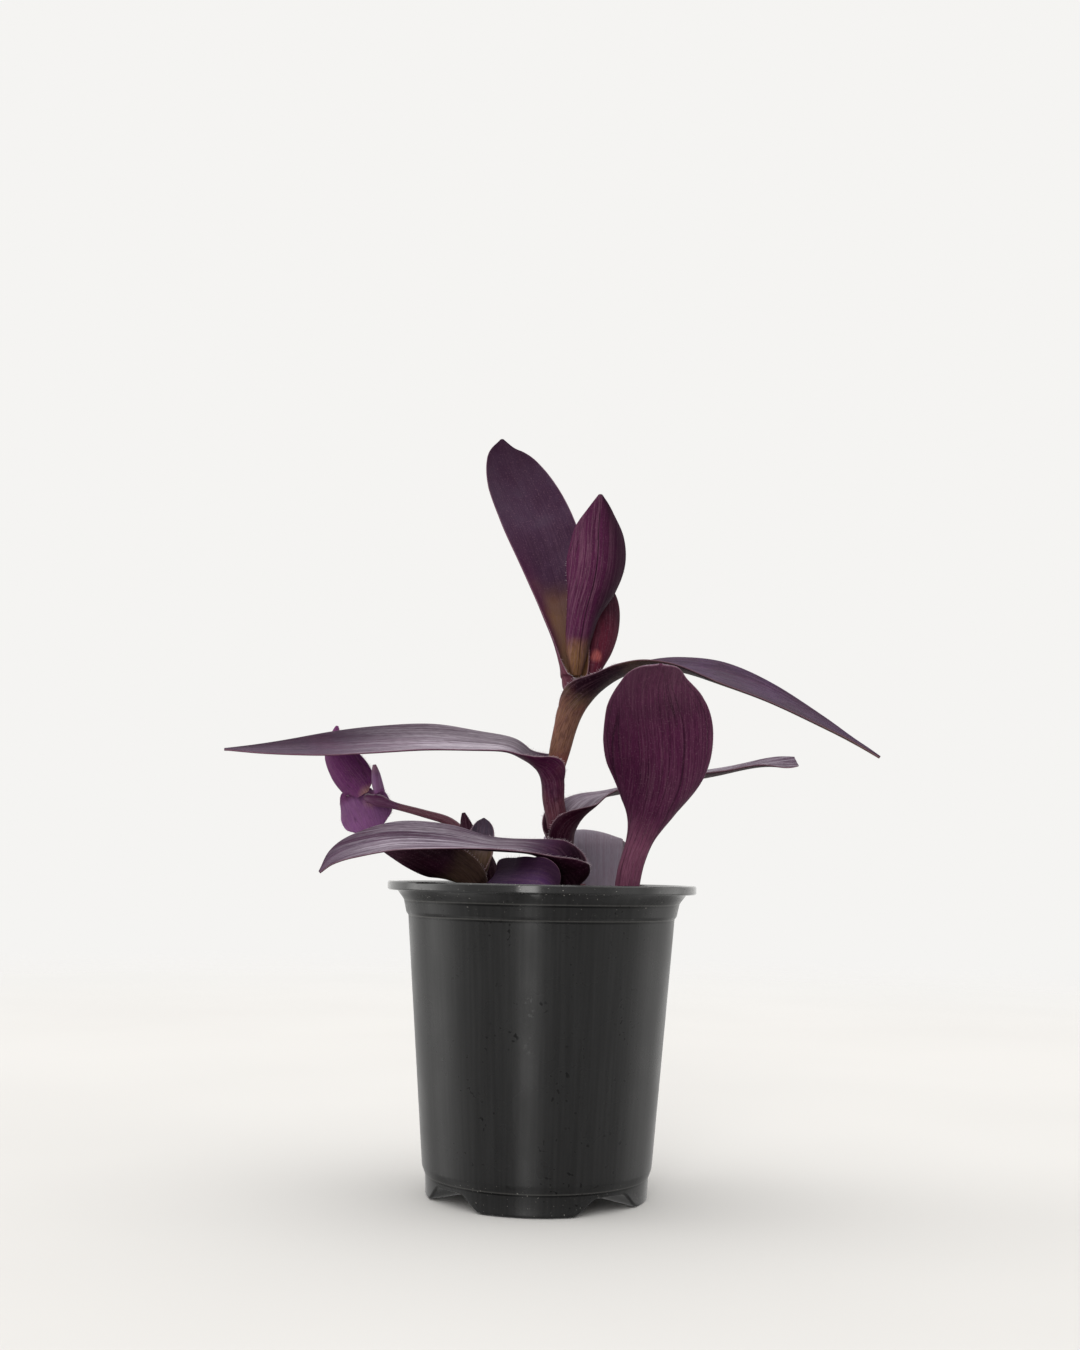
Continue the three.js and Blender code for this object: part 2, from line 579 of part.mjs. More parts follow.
      row([-74, 17.4, 150.6], 6.4, 0.8, [0.3, 0.9, 0.2]),
      row([-74.6, 19.6, 155.6], 3.2, 0.7, [0.3, 0.9, 0.2]),
      row([-74, 22, 160.4], 0.5, 0.5, [0.3, 0.9, 0.2]),
    ],
  },
  bract_lower: {
    material: BRACT_SKIN,
    steps: 8,
    columns: 6,
    rows: [
      row([-66.2, 20.9, 138], 5, 0.5, [0.1, 1, 0.2]),
      row([-65.9, 20.2, 136], 8.2, 0.5, [0.1, 1, 0.2]),
      row([-64, 18.6, 131.8], 9.9, 0.5, [0.1, 1, 0.1]),
      row([-62, 17.8, 127], 9.2, 0.5, [0.1, 1, 0.1]),
      row([-60.4, 18, 123.4], 4, 0.4, [0.1, 1, 0.1]),
    ],
  },
  bract_bud: {
    material: BRACT_SKIN,
    steps: 6,
    columns: 6,
    rows: [
      row([-57.5, 12.2, 136.75], 2.3, 1.5, [0, 1, 0.2]),
      row([-58.3, 12.3, 139.4], 2.5, 1.5, [0, 1, 0.1]),
      row([-58.9, 12.2, 143], 1.8, 1.4, [0, 1, 0]),
      row([-59.4, 12.2, 146.4], 0.4, 1.0, [0, 1, 0]),
    ],
  },
};

// ---------------------------------------------------------------- soil

// Low clods on the soil's top, from a few crossed waves.
function soilTop(x, y) {
  const clods = Math.sin(0.41 * x + 1.3) * Math.cos(0.37 * y - 0.6) + 0.5 * Math.sin(0.83 * x - 0.71 * y);
  return SOIL_LEVEL + (SOIL_BUMP * clods) / 1.5;
}

function soilGeometry() {
  const rings = [{ radius: 0, height: soilTop }];
  for (const radius of [7, 14, 21, 28, 35, 40]) {
    rings.push({ radius, height: soilTop });
  }
  rings.push({ radius: insideRadius(SOIL_LEVEL - 2) - 1.3 * GAP, height: SOIL_LEVEL - 1.5 });
  rings.push({ radius: insideRadius(12.4) - 1.3 * GAP, height: 12.4 });
  const floor = (x, y) => raisedBase(x, y) + POT_WALL + SOIL_CLEARANCE;
  for (const radius of BASE_RADII) {
    rings.push({ radius: radius - (radius === BASE_RADII[0] ? SOIL_CLEARANCE : 0), height: floor });
  }
  rings.push({ radius: 0, height: floor });
  const holes = [...Object.values(STEMS), STALK].map(({ rows }) => {
    const [x, y, , radius] = rows[0];
    return upright(radius + SOIL_CLEARANCE, FOOT_Z - GAP, SOIL_LEVEL + 5, x, y);
  });
  return subtractAll(ringedBody(rings, POT_SECTORS), holes);
}

// ---------------------------------------------------------------- assembly

const plant = new THREE.Group();

function addPiece(name, geometry, skin) {
  const mesh = new THREE.Mesh(geometry, skin);
  mesh.name = name;
  plant.add(mesh);
}

addPiece('pot', potGeometry(), POT_PLASTIC);
addPiece('soil', soilGeometry(), POTTING_SOIL);
for (const [name, { rows, steps }] of Object.entries(STEMS)) {
  addPiece(name, stemGeometry(rows, steps), STEM_SKIN);
}
addPiece('flower_stalk', stemGeometry(STALK.rows, STALK.steps), STALK_SKIN);
for (const [name, leaf] of Object.entries(LEAVES)) {
  addPiece(name, leafGeometry(leaf), leaf.material);
}

export default plant;
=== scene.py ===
"""The finished look of a potted tradescantia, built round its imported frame.

Lengths in the tables are millimetres in the frame's axes; everything made in Blender is in metres.
"""

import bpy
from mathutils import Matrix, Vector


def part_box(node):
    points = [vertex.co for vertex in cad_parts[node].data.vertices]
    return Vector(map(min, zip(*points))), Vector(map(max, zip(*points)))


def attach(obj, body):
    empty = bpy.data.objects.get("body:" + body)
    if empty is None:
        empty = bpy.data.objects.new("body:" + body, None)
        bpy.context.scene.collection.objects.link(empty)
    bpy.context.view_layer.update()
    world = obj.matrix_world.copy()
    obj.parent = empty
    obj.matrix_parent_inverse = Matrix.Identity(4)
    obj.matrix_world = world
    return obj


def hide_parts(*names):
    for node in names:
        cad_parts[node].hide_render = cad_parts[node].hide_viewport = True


bl_info = {
    "name": "Potted Tradescantia",
    "version": (1, 0, 0),
    "blender": (4, 5, 0),
    "location": "View3D > Sidebar > Plant",
    "description": "Builds a young purple-leaved plant in a black nursery pot",
    "category": "Object",
}

import math

import bpy
import numpy as np
from bpy.props import FloatProperty, FloatVectorProperty, IntProperty, PointerProperty
from mathutils import Vector

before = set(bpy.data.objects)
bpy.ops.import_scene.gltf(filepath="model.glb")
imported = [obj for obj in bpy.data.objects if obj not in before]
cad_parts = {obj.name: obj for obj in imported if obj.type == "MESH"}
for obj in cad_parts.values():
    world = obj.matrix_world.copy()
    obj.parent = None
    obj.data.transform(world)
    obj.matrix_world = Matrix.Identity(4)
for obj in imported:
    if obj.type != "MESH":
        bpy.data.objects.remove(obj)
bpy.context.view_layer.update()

MM = 0.001
BODY = "root"

# The pot's dimensions. Its height comes from the frame.
POT_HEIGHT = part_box("pot")[1].z / MM
LIP_RADIUS = 52.5
LIP_DEPTH = 3
POT_WALL = 1.2
FOOT_HEIGHT = 5.5
FOOT_RADIUS = 37.8
CHANNEL_FLAT = 5.3
CHANNEL_MOUTH = 14.5
CHANNEL_ANGLE = math.radians(40)
DRAIN_RADIUS = 4
DRAIN_CIRCLE = 28
WALL_TOP = 91.5  # the straight tapered wall reaches from here
WALL_FOOT = 12.4  # down to here
# Outside radius and height, from the lip down: flared neck, ledge, collar, ledge, tapered wall, foot.
OUTER_WALL = [
    (49.2, POT_HEIGHT - LIP_DEPTH), (48.8, 102.6), (47.3, 100.6), (46.9, 99.9), (46.0, 95.7),
    (45.3, 94.8), (45.1, WALL_TOP), (39.3, WALL_FOOT), (39.1, 10.2), (38.0, 7.1),
]

SOIL_LEVEL = 93.5
SOIL_GAP = 0.35  # between the soil and the pot's wall
SOIL_LIFT = 0.4  # of the soil above the pot's floor
ROLLED = math.pi

# Each row of a shoot: a point on its axis and its radius there.
STEMS = {
    "stem_main": [
        (9.4, 4.2, 84.5, 3.3), (9.3, 4.2, 98, 3.4), (8.4, 4, 107, 3.2), (6.6, 3.6, 114.5, 2.8),
        (5.9, 3.2, 121, 2.5), (4.6, 3, 127, 2.2), (3.4, 2.5, 134.8, 2.2), (3.1, 2, 140, 1.9),
        (3.9, 1.6, 145.5, 1.6), (5.2, 1.3, 150, 1.9), (6.5, 1, 157, 1.9), (7.6, 0.8, 163.5, 1.6),
        (8.6, 0.6, 169, 1),
    ],
    "stem_left": [
        (-21.9, -8.2, 84.5, 1.8), (-22, -8.1, 95, 1.8), (-22.2, -8, 103, 1.3), (-22.2, -7.6, 111, 0.7),
    ],
    "stem_front": [
        (9.3, -20.9, 84.5, 2.2), (9.2, -21, 95, 2.2), (8.9, -21.2, 103, 2.1), (9.2, -21.5, 109, 1),
    ],
    "stem_right": [
        (27.3, -21.1, 84.5, 2.6), (27.4, -21.2, 96, 2.6), (27.9, -21.6, 104, 2.4),
        (28.8, -22.8, 111, 1.2),
    ],
    "stem_back": [
        (14.3, 12.6, 84.5, 2.5), (14.3, 12.7, 95, 2.5), (14.2, 13.1, 101, 2.1), (14.3, 14, 106, 1),
    ],
    "flower_stalk": [
        (-18.4, 7, 84.5, 1.6), (-18.7, 7.2, 98, 1.6), (-19.5, 8, 107, 1.6), (-22.4, 10.2, 115.5, 1.6),
        (-27, 11.8, 122, 1.6), (-33, 12.4, 127, 1.6), (-42, 12.8, 129.7, 1.4), (-52, 13.4, 132.2, 1.3),
        (-57.4, 13.9, 133.8, 2.2), (-60.2, 14.5, 134.4, 1.7), (-62, 16.2, 135, 1.5),
        (-62.7, 17.9, 135.1, 0.9),
    ],
}

# Each row of a leaf: a point on its midrib, half its width measured along its curve, how far it turns
# from the midrib to a margin (pi is a closed sheath), and the way that its upper face looks.
LEAVES = {
    "leaf_right_back": [
        ((9.9, 5.3, 115.8), 12.1, ROLLED, (-0.9, -0.44, 0)),
        ((9.9, 5.1, 120.6), 13.6, ROLLED, (-0.9, -0.44, 0)),
        ((10.5, 5.7, 125.2), 13.6, 2.1, (-0.86, -0.45, 0.15)),
        ((13.4, 7.3, 131.3), 12, 0.7, (-0.55, -0.42, 0.7)),
        ((18.6, 9.8, 135.9), 11.6, 0.35, (-0.4, -0.22, 0.88)),
        ((28, 14.5, 138.5), 11.8, 0.35, (-0.27, -0.06, 0.95)),
        ((42, 21, 141.8), 12.6, 0.35, (-0.2, -0.07, 0.97)),
        ((60, 29.5, 145.8), 11.4, 0.3, (-0.17, -0.1, 0.97)),
        ((77, 37, 150), 6.6, 0.3, (-0.12, -0.16, 0.97)),
        ((93.2, 44, 152.5), 2.2, 0.3, (0, -0.85, 0.5)),
    ],
    "leaf_left_arch": [
        ((1.9, 3.1, 124.8), 10.05, ROLLED, (1, 0, 0)),
        ((0.9, 2.8, 129.8), 10.5, ROLLED, (1, 0, 0)),
        ((-0.1, 2.5, 134.8), 10.9, ROLLED, (1, 0, 0)),
        ((-0.6, 2, 140.3), 11.6, ROLLED, (1, 0, 0)),
        ((-1.6, 1.8, 143.8), 12.4, 2.25, (1, -0.05, 0.02)),
        ((-3.7, 1.7, 146.5), 10.5, 1, (0.82, -0.17, 0.48)),
        ((-7, 1.8, 148.8), 10, 0.5, (0.42, -0.2, 0.88)),
        ((-13, 2.1, 151.9), 11, 0.35, (0.15, -0.3, 0.94)),
        ((-24, 2.9, 152.8), 12.2, 0.35, (0.05, -0.35, 0.93)),
        ((-40, 4, 153.2), 13.2, 0.45, (0, -0.42, 0.9)),
        ((-58, 5.3, 152.4), 12.6, 0.42, (-0.02, -0.45, 0.88)),
        ((-76, 6.5, 151.2), 10.4, 0.4, (-0.03, -0.46, 0.88)),
        ((-95, 7.9, 150.4), 6, 0.35, (-0.03, -0.4, 0.9)),
        ((-111.2, 9, 150.5), 0.5, 0.3, (-0.03, -0.35, 0.9)),
    ],
    "leaf_right_arch": [
        ((6, 1.5, 143.8), 7.8, ROLLED, (-1, 0.1, 0)),
        ((7.3, 1.2, 147.6), 9.3, ROLLED, (-1, 0.1, 0)),
        ((8.6, 1, 152), 10.4, ROLLED, (-1, 0.1, 0)),
        ((10.2, 0.7, 158), 11.2, ROLLED, (-1, 0.1, 0)),
        ((12, 0.4, 163), 12.8, ROLLED, (-1, 0.1, 0.1)),
        ((14.6, 0.1, 167.6), 12.8, 2.25, (-0.9, 0.08, 0.36)),
        ((19.2, -0.5, 172.9), 11.4, 0.95, (-0.62, 0.05, 0.78)),
        ((26, -1.3, 177.4), 12.2, 0.55, (-0.42, 0, 0.9)),
        ((34.5, -2.4, 179.8), 13.2, 0.46, (-0.22, -0.1, 0.96)),
        ((45, -3.7, 179.3), 13.6, 0.48, (-0.02, -0.23, 0.96)),
        ((59, -5.3, 176), 13, 0.45, (0.15, -0.41, 0.9)),
        ((75, -7.1, 170.1), 10.9, 0.4, (0.3, -0.43, 0.86)),
        ((93, -8.8, 161.1), 7.5, 0.35, (0.4, -0.36, 0.84)),
        ((105, -9.7, 154.7), 3.5, 0.3, (0.42, -0.28, 0.85)),
        ((112.3, -10, 150.6), 0.5, 0.3, (0.42, -0.36, 0.82)),
    ],
    "leaf_upper_left": [
        ((8.8, 2.4, 171.4), 6.8, ROLLED, (0.35, -0.94, 0)),
        ((7.7, 2.9, 173.8), 8.6, ROLLED, (0.35, -0.94, 0)),
        ((7.8, 3.5, 176), 9.2, 2.3, (0.35, -0.94, 0)),
        ((8, 4.2, 180.5), 8.6, 1.75, (0.33, -0.94, 0)),
        ((7.1, 5.2, 188), 8.9, 1.4, (0.3, -0.94, 0)),
        ((5.5, 6.3, 197), 10.6, 1.2, (0.25, -0.95, 0.05)),
        ((3.1, 7.5, 208), 12.6, 1.05, (0.2, -0.96, 0.1)),
        ((-0.9, 8.9, 221.5), 13.5, 0.85, (0.15, -0.97, 0.1)),
        ((-6.2, 10.3, 234.5), 12.9, 0.65, (0.1, -0.97, 0.15)),
        ((-12.4, 11.6, 246.5), 10.8, 0.55, (0.1, -0.97, 0.2)),
        ((-16.2, 12.6, 254.9), 6.6, 0.5, (0.1, -0.97, 0.2)),
        ((-17, 13, 261.1), 0.6, 0.4, (0.1, -0.97, 0.2)),
    ],
    "leaf_upper_front": [
        ((10.6, -0.9, 177.2), 3.7, 2.2, (-0.25, 0.97, 0)),
        ((10.9, -2.5, 181.4), 5.2, 1.9, (-0.25, 0.97, 0)),
        ((11.4, -4.4, 188), 7.2, 1.8, (-0.2, 0.97, 0)),
        ((12.9, -6.2, 198), 8.4, 1.5, (-0.15, 0.98, 0)),
        ((15.4, -7.5, 207.8), 11.2, 1.2, (-0.1, 0.99, 0)),
        ((16.6, -8, 216.6), 11.8, 1, (-0.05, 1, 0)),
        ((16.7, -7.5, 226), 9.5, 0.9, (0, 1, 0)),
        ((17.1, -6.7, 233), 4.6, 0.8, (0, 1, 0)),
        ((17.2, -6, 237.8), 0.5, 0.6, (0, 1, 0)),
    ],
    "leaf_upper_inner": [
        ((16.2, 2.6, 175.5), 2.4, 1.5, (-0.4, 0.9, 0)),
        ((17.2, 3.4, 181), 3.6, 1.3, (-0.3, 0.95, 0)),
        ((18.7, 4.2, 188), 5.9, 1.1, (-0.2, 0.97, 0)),
        ((19.8, 4.6, 196), 6.6, 0.95, (-0.15, 0.97, 0)),
        ((19.6, 4.4, 204), 5.4, 0.8, (-0.1, 1, 0)),
        ((18.2, 3.8, 212), 0.8, 0.6, (-0.1, 1, 0)),
    ],
    "leaf_front_spoon": [
        ((27.4, -24.9, 96.5), 11.8, ROLLED, (-0.05, 1, 0)),
        ((27.8, -25.3, 104), 11.7, ROLLED, (-0.05, 1, 0)),
        ((29, -26.4, 112), 11.6, ROLLED, (-0.05, 1, 0)),
        ((31.4, -28.4, 120), 10.6, 2.6, (-0.05, 0.97, 0.1)),
        ((34.5, -31.6, 129.5), 13.3, 1.45, (-0.05, 0.95, 0.25)),
        ((36.3, -36, 140), 17.9, 0.9, (0, 0.9, 0.4)),
        ((35.9, -41.5, 151), 18.8, 0.65, (0, 0.85, 0.5)),
        ((34.2, -48, 160.6), 16.1, 0.55, (0, 0.75, 0.65)),
        ((33.4, -55, 167.2), 10.9, 0.5, (0, 0.5, 0.85)),
        ((33.8, -62.5, 171), 6.4, 0.4, (0, 0.3, 0.95)),
        ((33.8, -69, 172.2), 0.6, 0.3, (0, 0.2, 0.97)),
    ],
    "leaf_low_back": [
        ((14.2, 16.5, 95), 11.5, ROLLED, (0, -1, 0)),
        ((14.2, 16.8, 98), 11.8, 2.4, (0, -1, 0)),
        ((14.4, 18, 102), 13.6, 1.2, (0, -0.95, 0.2)),
        ((14.6, 20, 107.5), 14.4, 0.7, (0, -0.9, 0.4)),
        ((14.6, 23.4, 114.5), 14.4, 0.5, (0, -0.8, 0.6)),
        ((14.6, 28, 121), 14.2, 0.1, (0, -0.6, 0.8)),
        ((14.8, 35, 125.2), 15, -0.45, (0, -0.15, 1)),
        ((15.2, 46, 123), 17.6, -0.45, (0, 0.3, 0.95)),
        ((15.6, 58, 116.5), 13, -0.15, (0, 0.45, 0.9)),
        ((15.9, 69, 108.5), 0.6, 0.1, (0, 0.5, 0.85)),
    ],
    "leaf_low_left": [
        ((5.9, -21.9, 99.4), 10, ROLLED, (0.97, 0.25, 0)),
        ((5.6, -22.2, 105.4), 10.4, ROLLED, (0.97, 0.25, 0)),
        ((5.1, -22.6, 109.6), 14.4, 2.3, (0.97, 0.05, 0.05)),
        ((2.6, -23.4, 113.2), 11.6, 1.2, (0.82, -0.18, 0.42)),
        ((-4.5, -24.6, 116.6), 10.2, 0.4, (0.25, -0.2, 0.95)),
        ((-17, -27, 117.4), 11.4, 0.35, (0.05, -0.2, 0.98)),
        ((-31, -28.2, 118.8), 12.2, 0.4, (-0.03, -0.34, 0.93)),
        ((-47, -28.4, 118.9), 11.3, 0.42, (-0.15, -0.44, 0.88)),
        ((-60, -27.5, 116.4), 8.2, 0.4, (-0.3, -0.5, 0.8)),
        ((-67.5, -26.8, 113.2), 5.2, 0.4, (-0.5, -0.5, 0.7)),
        ((-72.3, -26, 108.6), 0.6, 0.3, (-0.7, -0.4, 0.55)),
    ],
    "leaf_low_front": [
        ((-20.5, -10.7, 95.4), 9.3, ROLLED, (-0.5, 0.86, 0)),
        ((-20.2, -11.2, 98.4), 9.8, 2.3, (-0.5, 0.86, 0)),
        ((-18.6, -14.3, 101.9), 8.2, 1.25, (-0.45, 0.6, 0.45)),
        ((-17.4, -20, 106.2), 9.4, 0.8, (-0.4, -0.4, 0.8)),
        ((-11.2, -29.2, 106.9), 9, 0.5, (-0.15, -0.78, 0.6)),
        ((-5.4, -34.9, 107.2), 8.6, 0.45, (0.1, -0.85, 0.5)),
        ((0.2, -38, 106.3), 7.8, 0.45, (0.25, -0.88, 0.4)),
        ((4.6, -39.4, 102.4), 0.6, 0.4, (0.45, -0.8, 0.3)),
    ],
    "leaf_low_dark": [
        ((-24.7, -9.1, 101.6), 8.2, ROLLED, (0.87, 0.5, 0)),
        ((-25.1, -9.3, 104.2), 9, 2.2, (0.85, 0.5, 0.1)),
        ((-27.8, -11, 107), 9.8, 1.4, (0.6, 0.7, 0.5)),
        ((-34.5, -12.8, 111.4), 9.4, 0.8, (0.35, 0.85, 0.45)),
        ((-42.5, -13.8, 115.4), 8.4, 0.6, (0.3, 0.9, 0.45)),
        ((-50.5, -14.2, 118.4), 5.4, 0.5, (0.3, 0.9, 0.45)),
        ((-58, -14.4, 120), 0.6, 0.4, (0.3, 0.9, 0.45)),
    ],
    "leaf_low_fold": [
        ((-22.1, -5, 106.4), 7.2, ROLLED, (0, -1, 0)),
        ((-22.3, -4.6, 109), 7.8, 2.2, (0, -1, 0)),
        ((-22.3, -3.4, 113.8), 7.4, 1.5, (0, -0.97, 0.15)),
        ((-21.4, -1.4, 119), 6, 1.25, (0.05, -0.95, 0.2)),
        ((-20.7, 0.6, 123.2), 4.6, 1.1, (0.05, -0.95, 0.3)),
        ((-20.5, 2.2, 126.2), 2.6, 0.9, (0, -0.9, 0.4)),
        ((-20.4, 3.3, 128), 0.5, 0.6, (0, -0.9, 0.4)),
    ],
    "leaf_low_tip": [
        ((-20.8, 5.2, 97), 9, ROLLED, (0.75, 0.66, 0)),
        ((-21.1, 5.3, 104), 9.2, ROLLED, (0.75, 0.66, 0)),
        ((-22, 5.2, 108.6), 8.8, 2.1, (0.6, 0.8, 0)),
        ((-23.8, 5.4, 114.6), 6.8, 1.5, (0.45, 0.88, 0.1)),
        ((-26, 6.2, 121.4), 4, 1, (0.35, 0.92, 0.1)),
        ((-27.1, 6.9, 126.6), 2.1, 0.9, (0.3, 0.93, 0.1)),
        ((-27.6, 7.3, 130), 0.5, 0.5, (0.3, 0.93, 0.1)),
    ],
    "bract_upper": [
        ((-63.9, 14.7, 135.7), 2.5, 0.9, (0.3, 0.9, 0.2)),
        ((-65.8, 14.8, 139), 7.1, 0.85, (0.3, 0.9, 0.2)),
        ((-68, 15.3, 141.6), 8.2, 0.8, (0.3, 0.9, 0.2)),
        ((-71.2, 16, 145.6), 8, 0.8, (0.3, 0.9, 0.2)),
        ((-74, 17.4, 150.6), 6.4, 0.8, (0.3, 0.9, 0.2)),
        ((-74.6, 19.6, 155.6), 3.2, 0.7, (0.3, 0.9, 0.2)),
        ((-74, 22, 160.4), 0.5, 0.5, (0.3, 0.9, 0.2)),
    ],
    "bract_lower": [
        ((-66.2, 20.9, 138), 5, 0.5, (0.1, 1, 0.2)),
        ((-65.9, 20.2, 136), 8.2, 0.5, (0.1, 1, 0.2)),
        ((-64, 18.6, 131.8), 9.9, 0.5, (0.1, 1, 0.1)),
        ((-62, 17.8, 127), 9.2, 0.5, (0.1, 1, 0.1)),
        ((-60.4, 18, 123.4), 4, 0.4, (0.1, 1, 0.1)),
    ],
    "bract_bud": [
        ((-57.5, 12.2, 136.75), 2.3, 1.5, (0, 1, 0.2)),
        ((-58.3, 12.3, 139.4), 2.5, 1.5, (0, 1, 0.1)),
        ((-58.9, 12.2, 143), 1.8, 1.4, (0, 1, 0)),
        ((-59.4, 12.2, 146.4), 0.4, 1, (0, 1, 0)),
    ],
}


# ---------------------------------------------------------------- looks

# How one face of a leaf looks. Lengthwise places run from 0 at the foot to 1 at the tip; a sign
# chooses one of the two margins.
FACE_DEFAULTS = {
    "foot_end": 0.2,  # where the foot's colour has given way to the body's
    "bloom": 0.0,  # share of grey waxy bloom, partly painted sheen
    "bloom_from": 0.2,  # about where the bloom begins
    "bloom_until": 1.0,  # and from where it thins out
    "brush": 1.0,  # how streaky the bloom is
    "blush": "plum",  # colour of the soft clouds
    "clouds": 0.3,  # share of the clouds
    "veins": 0.5,  # darkness of the thin lengthwise veins
    "linen": 0.3,  # darkness of the fine short stripes
    "lines": 0.12,  # light of the long fine lines
    "side": 0.0,  # painted shade towards one margin
    "flush": 0.0,  # magenta towards one margin of the lower half
    "midrib": 0.0,  # darkness of the midrib
    "tip": 0.0,  # shade towards the tip, or light if negative
    "spot": None,  # a soft spot: place, radius, colour, share
}


def face(body, foot, **looks):
    """One face's looks: its body's and its foot's colour, and what differs from the defaults."""
    return {**FACE_DEFAULTS, "body": body, "foot": foot, **looks}


def alike(body, foot, **looks):
    """The same looks for both faces."""
    return (face(body, foot, **looks),) * 2


# Soft spots: the bracts' pale foot, and a painted glint (an orange highlight) at the inner leaf's foot.
FLOWER_EYE = ((-60.5, 15.0, 135.2), 4.2, "straw", 0.7)
PAINTED_GLINT_SPOT = ((17.0, 3.5, 184.6), 2.3, "painted_glint", 0.8)

# Each leaf's upper face and underside.
LEAF_FACES = {
    "leaf_right_back": (face("dusk", "wine", bloom=0.6, bloom_from=0.12, side=0.2),
                        face("wine", "wine", linen=0.4, side=0.3)),
    "leaf_left_arch": (face("dusk", "wine", bloom=1.0, bloom_from=0.2, bloom_until=0.4, brush=0.72, veins=0.7,
                            side=0.5),
                       face("plum", "rose", foot_end=0.13, linen=0.45, lines=0.2)),
    "leaf_right_arch": (face("dusk", "painted_shade_purple", bloom=0.08, bloom_from=0.36, bloom_until=0.75, veins=0.7,
                             side=0.6, blush="violet", clouds=0.6, tip=0.3),
                        face("painted_shade_purple", "tan", foot_end=0.22, blush="moss", clouds=0.55, linen=0.4, veins=0.3,
                             lines=0.1)),
    "leaf_upper_left": (face("night", "olive", foot_end=0.46, blush="slate", veins=0.08, linen=0.1,
                             lines=0.05, midrib=0.12, tip=0.52, flush=-0.9),
                        face("plum", "rose", foot_end=0.2, lines=0.25)),
    "leaf_upper_front": (face("dusk", "wine", bloom=0.3),
                         face("magenta", "olive", foot_end=0.26, veins=0.8, lines=0.26, side=-0.8,
                              midrib=0.85, tip=0.3)),
    "leaf_upper_inner": (face("wine", "wine"),
                         face("maroon", "ruby", foot_end=0.75, blush="ruby", clouds=0.5, side=-0.3,
                              spot=PAINTED_GLINT_SPOT)),
    "leaf_front_spoon": (face("dusk", "wine", bloom=0.5),
                         face("plum", "pink", foot_end=0.36, veins=1.0, side=0.3, tip=-0.12)),
    "leaf_low_back": (face("slate", "slate", bloom=0.36, bloom_from=0.05, brush=0.3, linen=0.1, veins=0.15),
                      face("slate", "slate", bloom=0.36, bloom_from=0.05, brush=0.3, linen=0.1, veins=0.15,
                           midrib=0.5)),
    "leaf_low_left": (face("dusk", "painted_shade_purple", bloom=0.7, bloom_from=0.22, bloom_until=0.68, side=0.3),
                      face("painted_shade_purple", "painted_shade_purple", lines=0.05)),
    "leaf_low_front": (face("violet", "violet", blush="slate", veins=0.15, linen=0.15, side=-0.75),
                       face("violet", "painted_shade_purple")),
    "leaf_low_dark": (face("dusk", "wine", bloom=0.3),
                      face("maroon", "moss", foot_end=0.38, veins=0.5, lines=0.06, side=-0.3)),
    "leaf_low_fold": alike("slate", "moss", foot_end=0.7, blush="maroon", clouds=0.5, veins=0.2, tip=0.4),
    "leaf_low_tip": (face("maroon", "maroon", bloom=0.2),
                     face("maroon", "painted_shade_purple", foot_end=0.4)),
    "bract_upper": alike("orchid", "orchid", spot=FLOWER_EYE, linen=0.2),
    "bract_lower": alike("lilac", "orchid", spot=FLOWER_EYE, blush="orchid", linen=0.15),
    "bract_bud": alike("lilac", "lilac", bloom=0.22, bloom_from=0.1, linen=0.1, tip=-0.8),
}

# Where hairs stand along each leaf's margins (0 foot, 1 tip), and how many on each margin.
HAIR_STRETCHES = {
    "leaf_right_back": (0.12, 0.5, 70),
    "leaf_left_arch": (0.12, 0.5, 90),
    "leaf_right_arch": (0.14, 0.5, 90),
    "leaf_upper_left": (0.1, 0.6, 60),
    "leaf_upper_front": (0.05, 0.6, 50),
    "leaf_upper_inner": (0.05, 0.6, 30),
    "leaf_front_spoon": (0.2, 0.6, 60),
    "leaf_low_back": (0.12, 0.5, 40),
    "leaf_low_left": (0.15, 0.5, 70),
    "leaf_low_front": (0.1, 0.6, 30),
    "leaf_low_dark": (0.1, 0.6, 30),
    "leaf_low_fold": (0.1, 0.9, 30),
    "leaf_low_tip": (0.2, 0.95, 30),
    "bract_upper": (0.1, 0.98, 60),
    "bract_lower": (0.1, 0.98, 60),
    "bract_bud": (0.1, 0.95, 24),
}

# Heights of the thin lines painted round the pot under each ledge and above the feet: a line of painted
# shade, with a thin painted highlight just above it.
LEDGE_SHADE_AND_HIGHLIGHT_LINES = (99.3, 94.2, 7.2)

# Waves of light and dark round a stem; each gives two fine lengthwise lines.
STEM_WAVES = 9

# The tall soft lights, as the pot reflects them: the turn from the front and the width, both in
# radians, and the share of light.
SOFT_STRIPS = ((-0.17, 0.12, 1.0), (-1.2, 0.16, 0.08), (1.12, 0.2, 0.07), (-1.68, 0.28, 0.34),
               (1.84, 0.26, 0.14))

FLOOR_RADIUS = 4000
FLOOR_FADE = (500, 1500)  # the floor fades out into the surround between these radii


# ---------------------------------------------------------------- settings

def colour_property(name, description, default):
    return FloatVectorProperty(name=name, description=description, default=default, size=3, min=0.0,
                               max=1.0, subtype="COLOR")


def length_property(name, description, default):
    return FloatProperty(name=name, description=description, default=default, min=0.0, unit="LENGTH",
                         subtype="DISTANCE")


def share_property(name, description, default):
    return FloatProperty(name=name, description=description, default=default, min=0.0, max=1.0,
                         subtype="FACTOR")


def count_property(name, description, default, low, high):
    return IntProperty(name=name, description=description, default=default, min=low, max=high)


def light_property(name, description, default):
    return FloatProperty(name=name, description=description, default=default, min=0.0)


